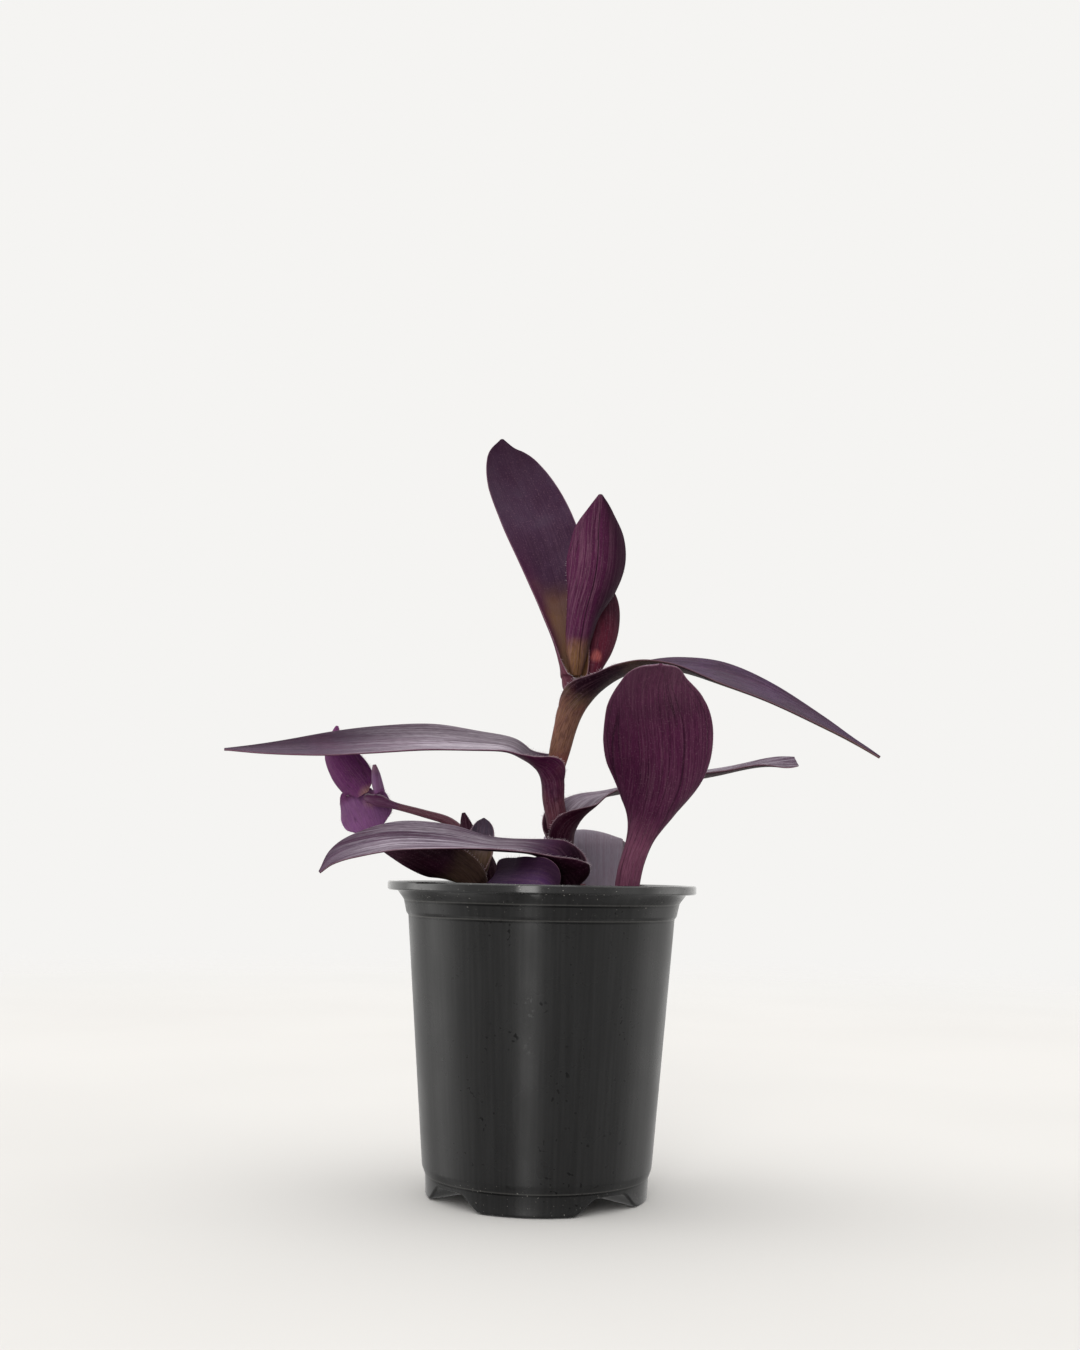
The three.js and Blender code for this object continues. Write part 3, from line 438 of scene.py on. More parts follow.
class PotSettings(bpy.types.PropertyGroup):
    """The nursery pot's fineness and finish"""
    sectors: count_property("Sectors", "Flat sides round the pot", 180, 24, 400)
    rounding: length_property("Corner rounding", "Radius of the pot's moulded corners", 0.0005)
    colour: colour_property("Plastic", "Colour of the black plastic", (0.0165, 0.0165, 0.0168))
    # the dust colour also paints the highlight lines at the ledges and the glints on the lip
    dust: colour_property("Dust", "Colour of the dust specks", (0.3, 0.29, 0.27))
    roughness: share_property("Roughness", "Roughness of the plastic", 0.25)
    lip_gloss: share_property("Lip gloss", "Gloss of the handled lip", 0.9)


class SoilSettings(bpy.types.PropertyGroup):
    """The potting soil and its crumbs"""
    colour: colour_property("Soil", "Colour of the moist soil", (0.024, 0.015, 0.01))
    bark: colour_property("Bark", "Colour of the lighter bark bits", (0.11, 0.065, 0.035))
    crumb_size: length_property("Crumb size", "Radius of the largest crumbs", 0.0013)
    crumbs: count_property("Crumbs", "Crumbs for each square metre", 420000, 0, 2000000)
    clods: length_property("Clods", "Height of the low clods", 0.0012)
    seed: count_property("Seed", "Seed of the crumbs' places, turns and sizes", 4, 0, 1000)


class StemSettings(bpy.types.PropertyGroup):
    """The shoots and the flower stalk"""
    sides: count_property("Sides", "Flat sides round a shoot", 24, 6, 64)
    stem: colour_property("Stem", "Colour of the leafy shoots", (0.182, 0.063, 0.084))
    stalk: colour_property("Flower stalk", "Colour of the flower stalk", (0.1495, 0.0455, 0.0715))
    knuckle: colour_property("Stalk's end", "The swelling at the flower stalk's end", (0.087, 0.0174, 0.0653))


class LeafSettings(bpy.types.PropertyGroup):
    """The leaves' fineness and colours"""
    columns: count_property("Columns", "Strips across one face of a leaf", 28, 8, 80)
    fineness: count_property("Rows", "Rows between two of a leaf's stations", 14, 2, 40)
    rib: length_property("Rib thickness", "Thickness at the midrib", 0.0011)
    edge: length_property("Blade thickness", "Thickness near the margins", 0.0007)
    dusk: colour_property("Dusk", "Upper faces under the bloom", (0.0403, 0.0123, 0.047))
    night: colour_property("Night", "Upper face of the tall leaf", (0.056, 0.023, 0.053))
    # the bloom colour is partly the wax's own grey and partly painted sheen on faces that catch the light
    # from above
    bloom: colour_property("Bloom", "Grey waxy bloom on the upper faces", (0.512, 0.4544, 0.5248))
    slate: colour_property("Slate", "Blue-grey clouds", (0.09, 0.0705, 0.105))
    plum: colour_property("Plum", "Undersides", (0.0682, 0.0097, 0.0412))
    magenta: colour_property("Magenta", "Underside of the upper front leaf", (0.0812, 0.0113, 0.0508))
    maroon: colour_property("Maroon", "Undersides of the low dark leaves and the inner leaf",
                            (0.026, 0.0047, 0.0123))
    wine: colour_property("Wine", "Reddish sheaths", (0.0368, 0.004, 0.0132))
    # the darkest undersides and sheath mouths: the leaves' purple darkened as painted shade
    painted_shade_purple: colour_property("Soot", "The darkest undersides", (0.0144, 0.0022, 0.0072))
    shade: colour_property("Shade", "Veins, stripes and shaded places", (0.011, 0.0, 0.007))
    rose: colour_property("Rose", "Sheaths of the left arch and the tall leaf", (0.13, 0.038, 0.055))
    pink: colour_property("Pink", "Foot of the front spoon leaf", (0.216, 0.0704, 0.1248))
    tan: colour_property("Tan", "Sheath of the right arch", (0.189, 0.0532, 0.042))
    olive: colour_property("Olive", "Foot of the upper leaves", (0.24, 0.12, 0.0512))
    moss: colour_property("Moss", "Foot of the small low leaves", (0.15, 0.1, 0.055))
    ruby: colour_property("Ruby", "Lower half of the inner leaf", (0.108, 0.0125, 0.03))
    # painted glint: the orange highlight painted at the inner leaf's foot
    painted_glint: colour_property("Ember", "Glow at the inner leaf's foot", (0.483, 0.115, 0.1035))
    violet: colour_property("Violet", "Low front leaf", (0.0483, 0.0127, 0.069))
    margin: colour_property("Margin", "Thin light margins", (0.275, 0.15, 0.1938))


class BractSettings(bpy.types.PropertyGroup):
    """The bracts at the flower stalk's end"""
    orchid: colour_property("Orchid", "Upper bract", (0.133, 0.0285, 0.122))
    lilac: colour_property("Lilac", "Lower bract and bud", (0.204, 0.0782, 0.2125))
    straw: colour_property("Straw", "Pale foot of the bracts", (0.45, 0.255, 0.195))


class HairSettings(bpy.types.PropertyGroup):
    """The soft hairs on the margins"""
    length: length_property("Length", "Length of the longest hairs", 0.0013)
    radius: length_property("Radius", "Radius of a hair at its foot", 0.00006)
    colour: colour_property("Hair", "Colour of the hairs", (0.42, 0.34, 0.38))
    seed: count_property("Seed", "Seed of the hairs' lengths and leans", 7, 0, 1000)


class StageSettings(bpy.types.PropertyGroup):
    """Floor, light and camera"""
    floor: colour_property("Floor", "Colour of the floor", (0.665, 0.655, 0.642))
    surround: colour_property("Surround", "Colour of the light all round", (0.913, 0.905, 0.888))
    above: light_property("Above", "Light from above, against the surround", 1.8)
    front: light_property("Front", "Light from the front, against the surround", 0.52)
    strips: light_property("Strips", "Light of the brightest tall strip, against the surround", 5.0)
    camera_at: FloatVectorProperty(name="Camera", description="Place of the camera", size=3,
                                   default=(-0.0008, -0.5226, 0.1107), subtype="TRANSLATION",
                                   unit="LENGTH")
    roll: FloatProperty(name="Roll", description="Roll of the camera", default=math.radians(1.1),
                        subtype="ANGLE")
    lens: FloatProperty(name="Lens", description="Focal length", default=40.8, min=1.0, unit="CAMERA")
    shift: FloatProperty(name="Shift", description="Upward shift of the picture", default=0.1444)


# ---------------------------------------------------------------- node trees

class Value:
    """A socket of a node tree that can stand in a Python sum."""

    def __init__(self, recipe, socket):
        self.recipe = recipe
        self.socket = socket

    def maths(self, operation, *others):
        inputs = dict(enumerate((self, *others)))
        return self.recipe.node("ShaderNodeMath", {"operation": operation}, inputs)

    def __add__(self, other):
        return self.maths("ADD", other)

    def __sub__(self, other):
        return self.maths("SUBTRACT", other)

    def __rsub__(self, other):
        return self.recipe.node("ShaderNodeMath", {"operation": "SUBTRACT"}, {0: other, 1: self})

    def __mul__(self, other):
        return self.maths("MULTIPLY", other)

    __radd__ = __add__
    __rmul__ = __mul__

    def __abs__(self):
        return self.maths("ABSOLUTE")

    def between(self, low, high):
        """0 below low, 1 above high and smooth between them; low may be the larger."""
        return self.recipe.node("ShaderNodeMapRange", {"interpolation_type": "SMOOTHSTEP"},
                                {"Value": self, "From Min": low, "From Max": high})


class Recipe:
    """Adds nodes to one tree."""

    def __init__(self, tree):
        self.tree = tree

    def node(self, kind, settings=None, inputs=None, output=0):
        """Adds a node: its settings first, then the values or links of its sockets."""
        made = self.tree.nodes.new(kind)
        for key, setting in (settings or {}).items():
            setattr(made, key, setting)
        for key, given in (inputs or {}).items():
            if isinstance(given, Value):
                self.tree.links.new(given.socket, made.inputs[key])
            else:
                made.inputs[key].default_value = given
        return Value(self, made.outputs[output] if len(made.outputs) else None)

    def mix(self, factor, first, second):
        """A colour between two colours."""
        return self.node("ShaderNodeMix", {"data_type": "RGBA"}, {0: factor, 6: first, 7: second}, 2)

    def point(self, x, y, z):
        return self.node("ShaderNodeCombineXYZ", None, {0: x, 1: y, 2: z})

    def parts(self, vector):
        return [self.node("ShaderNodeSeparateXYZ", None, {0: vector}, index) for index in range(3)]

    def noise(self, where, scale, detail=2.0, roughness=0.5):
        return self.node("ShaderNodeTexNoise", None,
                         {"Vector": where, "Scale": scale, "Detail": detail, "Roughness": roughness})


def rgba(colour):
    return (*colour, 1.0)


def scaled(colour, factor):
    """The colour made lighter or darker, in the form that a socket takes."""
    return rgba([min(channel * factor, 1.0) for channel in colour])


class Skin(Recipe):
    """A material with a Principled surface."""

    def __init__(self, name):
        self.material = bpy.data.materials.new(name)
        self.material.use_nodes = True
        super().__init__(self.material.node_tree)
        self.surface = self.tree.nodes["Principled BSDF"]

    def set(self, **sockets):
        """Gives the surface's sockets their values or links; spaces in names are underscores."""
        for key, given in sockets.items():
            socket = self.surface.inputs[key.replace("_", " ")]
            if isinstance(given, Value):
                self.tree.links.new(given.socket, socket)
            else:
                socket.default_value = given

    def bump(self, height, strength, distance):
        self.set(Normal=self.node("ShaderNodeBump", None,
                                  {"Height": height, "Strength": strength, "Distance": distance}))

    def here(self):
        """The place in the object's own axes, in millimetres."""
        place = self.node("ShaderNodeTexCoord", output=3)
        return self.node("ShaderNodeVectorMath", {"operation": "SCALE"}, {0: place, "Scale": 1 / MM})

    def vector_attribute(self, name):
        return self.node("ShaderNodeAttribute", {"attribute_name": name}, output=1)

    def number_attribute(self, name):
        return self.node("ShaderNodeAttribute", {"attribute_name": name}, output=2)


class Grower(Recipe):
    """A Geometry Nodes tree with one mesh in and one out."""

    def __init__(self, name, **named_inputs):
        tree = bpy.data.node_groups.new(name, "GeometryNodeTree")
        super().__init__(tree)
        tree.interface.new_socket("Geometry", in_out="INPUT", socket_type="NodeSocketGeometry")
        tree.interface.new_socket("Geometry", in_out="OUTPUT", socket_type="NodeSocketGeometry")
        self.keys = {}
        for label, kind in named_inputs.items():
            item = tree.interface.new_socket(label, in_out="INPUT", socket_type=kind)
            self.keys[label] = item.identifier
        self.entry = tree.nodes.new("NodeGroupInput")

    def given(self, label):
        return Value(self, self.entry.outputs[label])

    def finish(self, geometry):
        """Ends the tree: real geometry with its material."""
        real = self.node("GeometryNodeRealizeInstances", None, {"Geometry": geometry})
        dressed = self.node("GeometryNodeSetMaterial", None,
                            {"Geometry": real, "Material": self.given("Material")})
        self.node("NodeGroupOutput", None, {"Geometry": dressed})

    def grow(self, source, name, **values):
        """Runs the tree on an object and returns the result as a plain mesh object."""
        modifier = source.modifiers.new("growth", "NODES")
        modifier.node_group = self.tree
        for label, value in values.items():
            modifier[self.keys[label]] = value
        graph = bpy.context.evaluated_depsgraph_get()
        mesh = bpy.data.meshes.new_from_object(source.evaluated_get(graph), depsgraph=graph)
        discard(source)
        mesh.name = name
        return linked(bpy.data.objects.new(name, mesh))


# ---------------------------------------------------------------- meshes

def linked(piece):
    bpy.context.scene.collection.objects.link(piece)
    return piece


def mesh_piece(name, points, faces, smooth=True):
    """An object of points in millimetres and faces."""
    mesh = bpy.data.meshes.new(name)
    mesh.from_pydata([tuple(point) for point in np.asarray(points) * MM], [], [tuple(face) for face in faces])
    mesh.polygons.foreach_set("use_smooth", [smooth] * len(mesh.polygons))
    mesh.update()
    return linked(bpy.data.objects.new(name, mesh))


def settle(piece, node):
    """Lets a finished piece stand for its CAD node."""
    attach(piece, BODY)
    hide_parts(node)


def discard(helper):
    """Takes out of the scene what has served its turn: a cut's tool or a tree's source."""
    data = helper.data
    bpy.data.objects.remove(helper)
    library = bpy.data.curves if isinstance(data, bpy.types.Curve) else bpy.data.meshes
    library.remove(data)


def spline_at(rows, t):
    """A point of the smooth curve through the rows, at t from 0 to 1."""
    rows = np.asarray(rows, float)
    last = len(rows) - 1
    place = min(max(t, 0.0), 1.0) * last
    start = min(int(place), last - 1)
    u = place - start
    before = rows[start - 1] if start > 0 else 2 * rows[0] - rows[1]
    after = rows[start + 2] if start + 2 <= last else 2 * rows[last] - rows[last - 1]
    here, there = rows[start], rows[start + 1]
    leave, arrive = (there - before) / 2, (after - here) / 2
    return (here + leave * u + (-3 * here + 3 * there - 2 * leave - arrive) * u ** 2
            + (2 * here - 2 * there + leave + arrive) * u ** 3)


def heading_at(rows, t, reach=1e-4):
    """The curve's direction at t."""
    step = spline_at(rows, min(t + reach, 1.0)) - spline_at(rows, max(t - reach, 0.0))
    return step / np.linalg.norm(step)


def ringed_mesh(rings, sectors):
    """Points and faces of a closed body of rings round the Z axis: (radius, height or its function)."""
    def height_at(height, x, y):
        return height(x, y) if callable(height) else height

    points = [(0, 0, height_at(rings[0][1], 0, 0))]
    angles = np.arange(sectors) / sectors * 2 * math.pi + CHANNEL_ANGLE
    for radius, height in rings[1:-1]:
        for angle in angles:
            x, y = radius * math.sin(angle), -radius * math.cos(angle)
            points.append((x, y, height_at(height, x, y)))
    points.append((0, 0, height_at(rings[-1][1], 0, 0)))
    loops = len(rings) - 2
    faces = []
    for i in range(sectors):
        j = (i + 1) % sectors
        faces.append((0, 1 + i, 1 + j))
        for loop in range(loops - 1):
            low, high = 1 + loop * sectors, 1 + (loop + 1) * sectors
            faces.append((low + i, high + i, high + j, low + j))
        end = 1 + (loops - 1) * sectors
        faces.append((end + i, len(points) - 1, end + j))
    return points, faces


def rounded(profile, radius, arc=4):
    """The profile with an arc at each corner, and a support ring on each side of the arc."""
    made = [np.asarray(profile[0], float)]
    for before, corner, after in zip(profile, profile[1:], profile[2:]):
        before, corner, after = (np.asarray(p, float) for p in (before, corner, after))
        back, on = before - corner, after - corner
        reach = min(radius, np.linalg.norm(back) * 0.3, np.linalg.norm(on) * 0.3)
        back, on = back / np.linalg.norm(back), on / np.linalg.norm(on)
        made.append(corner + back * reach * 1.5)
        for k in range(arc + 1):
            u = k / arc
            made.append(corner + back * reach * (1 - u) ** 2 + on * reach * u ** 2)
        made.append(corner + on * reach * 1.5)
    made.append(np.asarray(profile[-1], float))
    return [tuple(point) for point in made]


# ---------------------------------------------------------------- pot

def smoothstep(value, low, high):
    u = min(max((value - low) / (high - low), 0.0), 1.0)
    return u * u * (3 - 2 * u)


def raised_base(x, y):
    """How far the underside is raised: 0 on the four feet, full in the crossed channels."""
    along = (math.sin(CHANNEL_ANGLE), -math.cos(CHANNEL_ANGLE))
    offsets = (abs(x * along[1] - y * along[0]), abs(x * along[0] + y * along[1]))
    lows = [smoothstep(d, CHANNEL_FLAT, CHANNEL_MOUTH) for d in offsets]
    return FOOT_HEIGHT * (1 - lows[0] * lows[1])


def above_base(lift):
    """The underside's height, lifted, as a function of the place."""
    return lambda x, y: raised_base(x, y) + lift


def inside_radius(height):
    wall = [(LIP_RADIUS - 4, POT_HEIGHT), *OUTER_WALL]
    for (top_radius, top), (low_radius, low) in zip(wall, wall[1:]):
        if height >= low:
            return low_radius + (top_radius - low_radius) * (height - low) / (top - low) - POT_WALL
    return FOOT_RADIUS - POT_WALL


def pot_mesh(settings):
    inner = [(inside_radius(height), height) for height in (WALL_FOOT, WALL_TOP, 95.7, 100.3, 102.4)]
    lip = [(48.4, POT_HEIGHT - 0.9), (49.8, POT_HEIGHT), (LIP_RADIUS - 0.4, POT_HEIGHT),
           (LIP_RADIUS, POT_HEIGHT - 0.5), (LIP_RADIUS, POT_HEIGHT - LIP_DEPTH + 0.4),
           (LIP_RADIUS - 0.5, POT_HEIGHT - LIP_DEPTH)]
    walls = rounded([*inner, *lip, *OUTER_WALL], settings.rounding / MM)
    radii = list(np.linspace(3.5, 36.4, 24))
    rings = [(radius, above_base(POT_WALL)) for radius in (0, *radii)]
    rings += walls
    rings += [(FOOT_RADIUS, above_base(1.2)), (FOOT_RADIUS, above_base(0.8)),
              (FOOT_RADIUS - 0.25, above_base(0.25)), (FOOT_RADIUS - 0.9, raised_base)]
    rings += [(radius, raised_base) for radius in (*reversed(radii), 0)]
    return ringed_mesh(rings, settings.sectors)


def drill_mesh(sides=40):
    """The tools that cut the five drain holes."""
    points, faces = [], []
    spots = [(0, 0)]
    for turn in range(4):
        angle = CHANNEL_ANGLE + turn * math.pi / 2
        spots.append((DRAIN_CIRCLE * math.sin(angle), -DRAIN_CIRCLE * math.cos(angle)))
    angles = [i / sides * 2 * math.pi for i in range(sides)]
    for x, y in spots:
        first = len(points)
        for height in (-1, 20):
            points += [(x + DRAIN_RADIUS * math.cos(angle), y + DRAIN_RADIUS * math.sin(angle), height)
                       for angle in angles]
        faces.append([first + i for i in reversed(range(sides))])
        faces.append([first + sides + i for i in range(sides)])
        for i in range(sides):
            j = (i + 1) % sides
            faces.append((first + i, first + j, first + sides + j, first + sides + i))
    return points, faces


def pot_skin(settings):
    """Charcoal plastic: faint moulding streaks, dried drops, dust, a glossy lip with scuffs lightened as
    painted glints and darkened by painted shade, and lines of painted shade and highlight at the ledges.
    """
    skin = Skin("pot plastic")
    x, y, z = skin.parts(skin.here())
    around = x.maths("ARCTAN2", y)
    streaks = skin.noise(skin.point(around * 11, z * 0.008, 0.0), 3.0, 3.0)
    blotches = skin.noise(skin.here(), 0.05, 3.0)
    patches = skin.noise(skin.here(), 0.07, 2.0)
    spots = skin.noise(skin.here(), 0.75, 0.0).between(0.71, 0.78) * patches.between(0.5, 0.62)
    dusty = z.between(12, 7) + z.between(POT_HEIGHT - 14, POT_HEIGHT - 4)
    dust = skin.noise(skin.here(), 1.7, 0.0).between(0.8, 0.84) * dusty.maths("MINIMUM", 1.0)
    lip = z.between(POT_HEIGHT - 5, POT_HEIGHT - 2)
    # scuffs on the lip: rougher and less glossy, and lightened in colour as painted glints
    scuffs_and_glints = skin.noise(skin.point(around * 26, z * 1.2, 3.0), 1.3, 4.0, 0.65).between(0.6, 0.75) * lip
    dark = scaled(settings.colour, 0.3)
    colour = skin.mix(streaks.between(0.3, 0.75), rgba(settings.colour), scaled(settings.colour, 1.35))
    # dried drops, and painted shade that darkens the whole lip
    colour = skin.mix(spots * 0.8 + lip * 0.6, colour, dark)
    for height in LEDGE_SHADE_AND_HIGHLIGHT_LINES:
        # painted shade: a dark line along the ledge's underside
        colour = skin.mix(1 - abs(z - height).between(0.12, 0.4), colour, dark)
        # painted highlight: a thin light line just above it, in the dust colour
        colour = skin.mix((1 - abs(z - height - 0.55).between(0.05, 0.3)) * 0.12, colour, rgba(settings.dust))
    # painted glints: the scuffs lighten the lip's colour
    colour = skin.mix(scuffs_and_glints * 0.07, colour, rgba(settings.dust))
    colour = skin.mix(dust * 0.6, colour, rgba(settings.dust))
    roughness = settings.roughness + 0.08 * blotches.between(0.3, 0.7) + 0.12 * scuffs_and_glints
    roughness = roughness + 0.2 * dust - 0.2 * spots
    skin.set(Base_Color=colour, Roughness=roughness, Specular_IOR_Level=0.2,
             Coat_Weight=lip * (1 - scuffs_and_glints) * settings.lip_gloss, Coat_Roughness=0.06)
    grain = skin.noise(skin.here(), 3.2, 2.0)
    skin.bump(grain + streaks * 0.6, 0.12, 0.00012)
    return skin.material


# ---------------------------------------------------------------- soil

def soil_mesh():
    """A block with a flat top that the tree breaks up into clods."""
    rings = [(radius, SOIL_LEVEL) for radius in (0, *np.linspace(2.5, 41.5, 20))]
    rings.append((inside_radius(WALL_TOP) - SOIL_GAP, SOIL_LEVEL - 1.2))
    rings.append((inside_radius(WALL_FOOT) - SOIL_GAP, WALL_FOOT))
    floor = above_base(POT_WALL + SOIL_LIFT)
    rings += [(radius, floor) for radius in (*reversed(np.linspace(4, 35.2, 14)), 0)]
    return ringed_mesh(rings, 120)


def soil_bed_tree():
    """Low clods on the soil's top, and loose crumbs strewn over it."""
    tree = Grower("soil bed", Material="NodeSocketMaterial", Clods="NodeSocketFloat",
                  Crumbs="NodeSocketFloat", Size="NodeSocketFloat", Level="NodeSocketFloat",
                  Seed="NodeSocketInt")
    position = tree.node("GeometryNodeInputPosition")
    x, y, z = tree.parts(position)
    top = z.maths("GREATER_THAN", tree.given("Level") - 0.0004)
    rise = (tree.noise(position, 170.0, 4.0, 0.6) - 0.5) * 2.0 * tree.given("Clods")
    offset = tree.point(0.0, 0.0, rise)
    bed = tree.node("GeometryNodeSetPosition", None,
                    {"Geometry": tree.given("Geometry"), "Selection": top, "Offset": offset})
    strewn = tree.node("GeometryNodeDistributePointsOnFaces", None,
                       {"Mesh": bed, "Selection": z.maths("GREATER_THAN", tree.given("Level") - 0.0018),
                        "Density": tree.given("Crumbs"), "Seed": tree.given("Seed")})
    turn = tree.node("FunctionNodeRandomValue", {"data_type": "FLOAT_VECTOR"},
                     {0: (0.0, 0.0, 0.0), 1: (6.28, 6.28, 6.28), 8: tree.given("Seed")})
    size = tree.node("FunctionNodeRandomValue", {"data_type": "FLOAT_VECTOR"},
                     {0: (0.2, 0.2, 0.15), 1: (1.0, 1.0, 0.8), 8: tree.given("Seed") + 1})
    scale = tree.node("ShaderNodeVectorMath", {"operation": "SCALE"}, {0: size, "Scale": tree.given("Size")})
    crumb = tree.node("GeometryNodeMeshIcoSphere", None, {"Radius": 1.0, "Subdivisions": 1})
    crumbs = tree.node("GeometryNodeInstanceOnPoints", None,
                       {"Points": strewn, "Instance": crumb, "Scale": scale,
                        "Rotation": tree.node("FunctionNodeEulerToRotation", None, {0: turn})})
    both = tree.tree.nodes.new("GeometryNodeJoinGeometry")
    tree.tree.links.new(crumbs.socket, both.inputs[0])
    tree.tree.links.new(bed.socket, both.inputs[0])
    tree.finish(Value(tree, both.outputs[0]))
    return tree


def soil_skin(settings):
    """Dark moist crumbs with lighter bits of bark."""
    skin = Skin("potting soil")
    grains = skin.noise(skin.here(), 0.55, 4.0, 0.7)
    bark = skin.noise(skin.here(), 0.33, 1.0).between(0.6, 0.66)
    colour = skin.mix(grains.between(0.35, 0.7), rgba(settings.colour), scaled(settings.colour, 2.2))
    colour = skin.mix(bark * 0.55, colour, rgba(settings.bark))
    skin.set(Base_Color=colour, Roughness=0.8 + 0.15 * grains, Specular_IOR_Level=0.2)
    skin.bump(skin.noise(skin.here(), 2.4, 3.0, 0.7), 0.7, 0.0004)
    return skin.material


# ---------------------------------------------------------------- stems

def stem_tree():
    """A shoot swept along its axis."""
    tree = Grower("shoot", Material="NodeSocketMaterial", Sides="NodeSocketInt")
    axis = tree.node("GeometryNodeStoreNamedAttribute", {"data_type": "FLOAT", "domain": "POINT"},
                     {"Geometry": tree.given("Geometry"), "Name": "along",
                      "Value": tree.node("GeometryNodeSplineParameter")})
    ring = tree.node("GeometryNodeCurvePrimitiveCircle", None,
                     {"Resolution": tree.given("Sides"), "Radius": 1.0})
    ring = tree.node("GeometryNodeStoreNamedAttribute", {"data_type": "FLOAT", "domain": "POINT"},
                     {"Geometry": ring, "Name": "around", "Value": tree.node("GeometryNodeSplineParameter")})
    swept = tree.node("GeometryNodeCurveToMesh", None,
                      {"Curve": axis, "Profile Curve": ring, "Scale": tree.node("GeometryNodeInputRadius"),
                       "Fill Caps": True})
    tree.finish(tree.node("GeometryNodeSetShadeSmooth", None, {"Geometry": swept, "Shade Smooth": True}))
    return tree


def axis_curve(name, rows, count):
    """A curve object that follows the rows' axis, with their radii."""
    data = bpy.data.curves.new(name, "CURVE")
    data.dimensions = "3D"
    spline = data.splines.new("POLY")
    spline.points.add(count)
    for index, point in enumerate(spline.points):
        x, y, z, radius = spline_at(rows, index / count) * MM
        point.co = (x, y, z, 1)
        point.radius = radius
    return linked(bpy.data.objects.new(name, data))


def stem_skin(name, colour, end_colour, end_from):
    """Satin skin with fine lengthwise lines; the last stretch may take another colour."""
    skin = Skin(name)
    along, around = skin.number_attribute("along"), skin.number_attribute("around")
    lines = abs((around * (2 * math.pi * STEM_WAVES)).maths("SINE"))
    flecks = skin.noise(skin.here(), 1.1, 3.0)
    light = lines.between(0.1, 0.8) * 0.5 + flecks * 0.4
    colour = skin.mix(light, scaled(colour, 0.55), rgba(colour))
    colour = skin.mix(along.between(end_from, end_from + 0.04), colour, rgba(end_colour))
    skin.set(Base_Color=colour, Roughness=0.42 + 0.15 * flecks, Specular_IOR_Level=0.3)
    skin.bump(lines + flecks, 0.25, 0.00012)
    return skin.material


# ---------------------------------------------------------------- leaves

def leaf_frame_at(rows, t):
    """Midrib point, upper face's way, sideways way, half width and turn at t."""
    ribs = [row[0] for row in rows]
    ways = [np.asarray(row[3]) / np.linalg.norm(row[3]) for row in rows]
    centre, along = spline_at(ribs, t), heading_at(ribs, t)
    face = spline_at(ways, t)
    face = face - along * face.dot(along)
    face /= np.linalg.norm(face)
    half, curl = spline_at([(row[1], row[2]) for row in rows], t)
    turn = math.pi if curl > math.pi - 0.05 else (curl if abs(curl) > 0.02 else 0.02)
    return centre, face, np.cross(along, face), half, turn


def leaf_thickness(across, turn, settings):
    """Thickest at the rib of an open blade, rounded off to nothing at the margins."""
    open_share = max(1 - turn / math.pi, 0.0)
    swell = (settings.rib - settings.edge) / MM * open_share * (1 - abs(across)) ** 2
    nose = max(abs(across) - 0.93, 0.0) / 0.07
    return (settings.edge / MM + swell) * math.sqrt(max(1 - nose ** 2, 0.0))


def leaf_piece(name, rows, settings):
    """One blade with its sheath: faces of the upper side first, then those of the underside and ends."""
    columns = settings.columns
    steps = settings.fineness * (len(rows) - 1)
    across = np.sin(np.linspace(-1, 1, columns + 1) * math.pi / 2)
    loop = 2 * columns
    frames = [leaf_frame_at(rows, step / steps) for step in range(steps + 1)]
    strides = [np.linalg.norm(after[0] - before[0]) for before, after in zip(frames, frames[1:])]
    runs = np.concatenate(([0.0], np.cumsum(strides)))
    points, places, spreads = [], [], []
    for run, (centre, face_way, side, half, turn) in zip(runs, frames):
        for k in range(loop):
            layer = 1 if k <= columns else -1
            a = across[k if k <= columns else loop - k]
            thick = leaf_thickness(a, turn, settings) * layer / 2
            angle = turn * a
            sideways = half * math.sin(angle) / turn - thick * math.sin(angle)
            up = half * (1 - math.cos(angle)) / turn + thick * math.cos(angle)
            points.append(centre + side * sideways + face_way * up)
            places.append((a, run / runs[-1], run))
            spreads.append(a * half)
    uppers, unders = [], []
    for step in range(steps):
        low, high = step * loop, (step + 1) * loop
        for k in range(loop):
            n = (k + 1) % loop
            quad = (low + k, low + n, high + n, high + k)
            (uppers if k < columns else unders).append(quad)
    last = steps * loop
    for j in range(columns):
        top, top_next = j, j + 1
        under, under_next = (loop - j) % loop, loop - j - 1
        unders.append(unique((top, under, under_next, top_next)))
        unders.append(tuple(last + i for i in reversed(unique((top, under, under_next, top_next)))))
    piece = mesh_piece(name, points, uppers + unders)
    mesh = piece.data
    mesh.polygons.foreach_set("material_index", [0] * len(uppers) + [1] * len(unders))
    mesh.attributes.new("place", "FLOAT_VECTOR", "POINT").data.foreach_set("vector", np.ravel(places))
    mesh.attributes.new("spread", "FLOAT", "POINT").data.foreach_set("value", spreads)
    return piece


def unique(indices):
    """The indices in order, each once: a quad at a margin is a triangle."""
    return tuple(dict.fromkeys(indices))


def leaf_colour(name):
    """A colour of the leaves' or the bracts' settings."""
    scene = bpy.context.scene
    for group in (scene.plant_leaves, scene.plant_bracts):
        if hasattr(group, name):
            return rgba(getattr(group, name))
    raise KeyError(f"no leaf colour is named {name}")


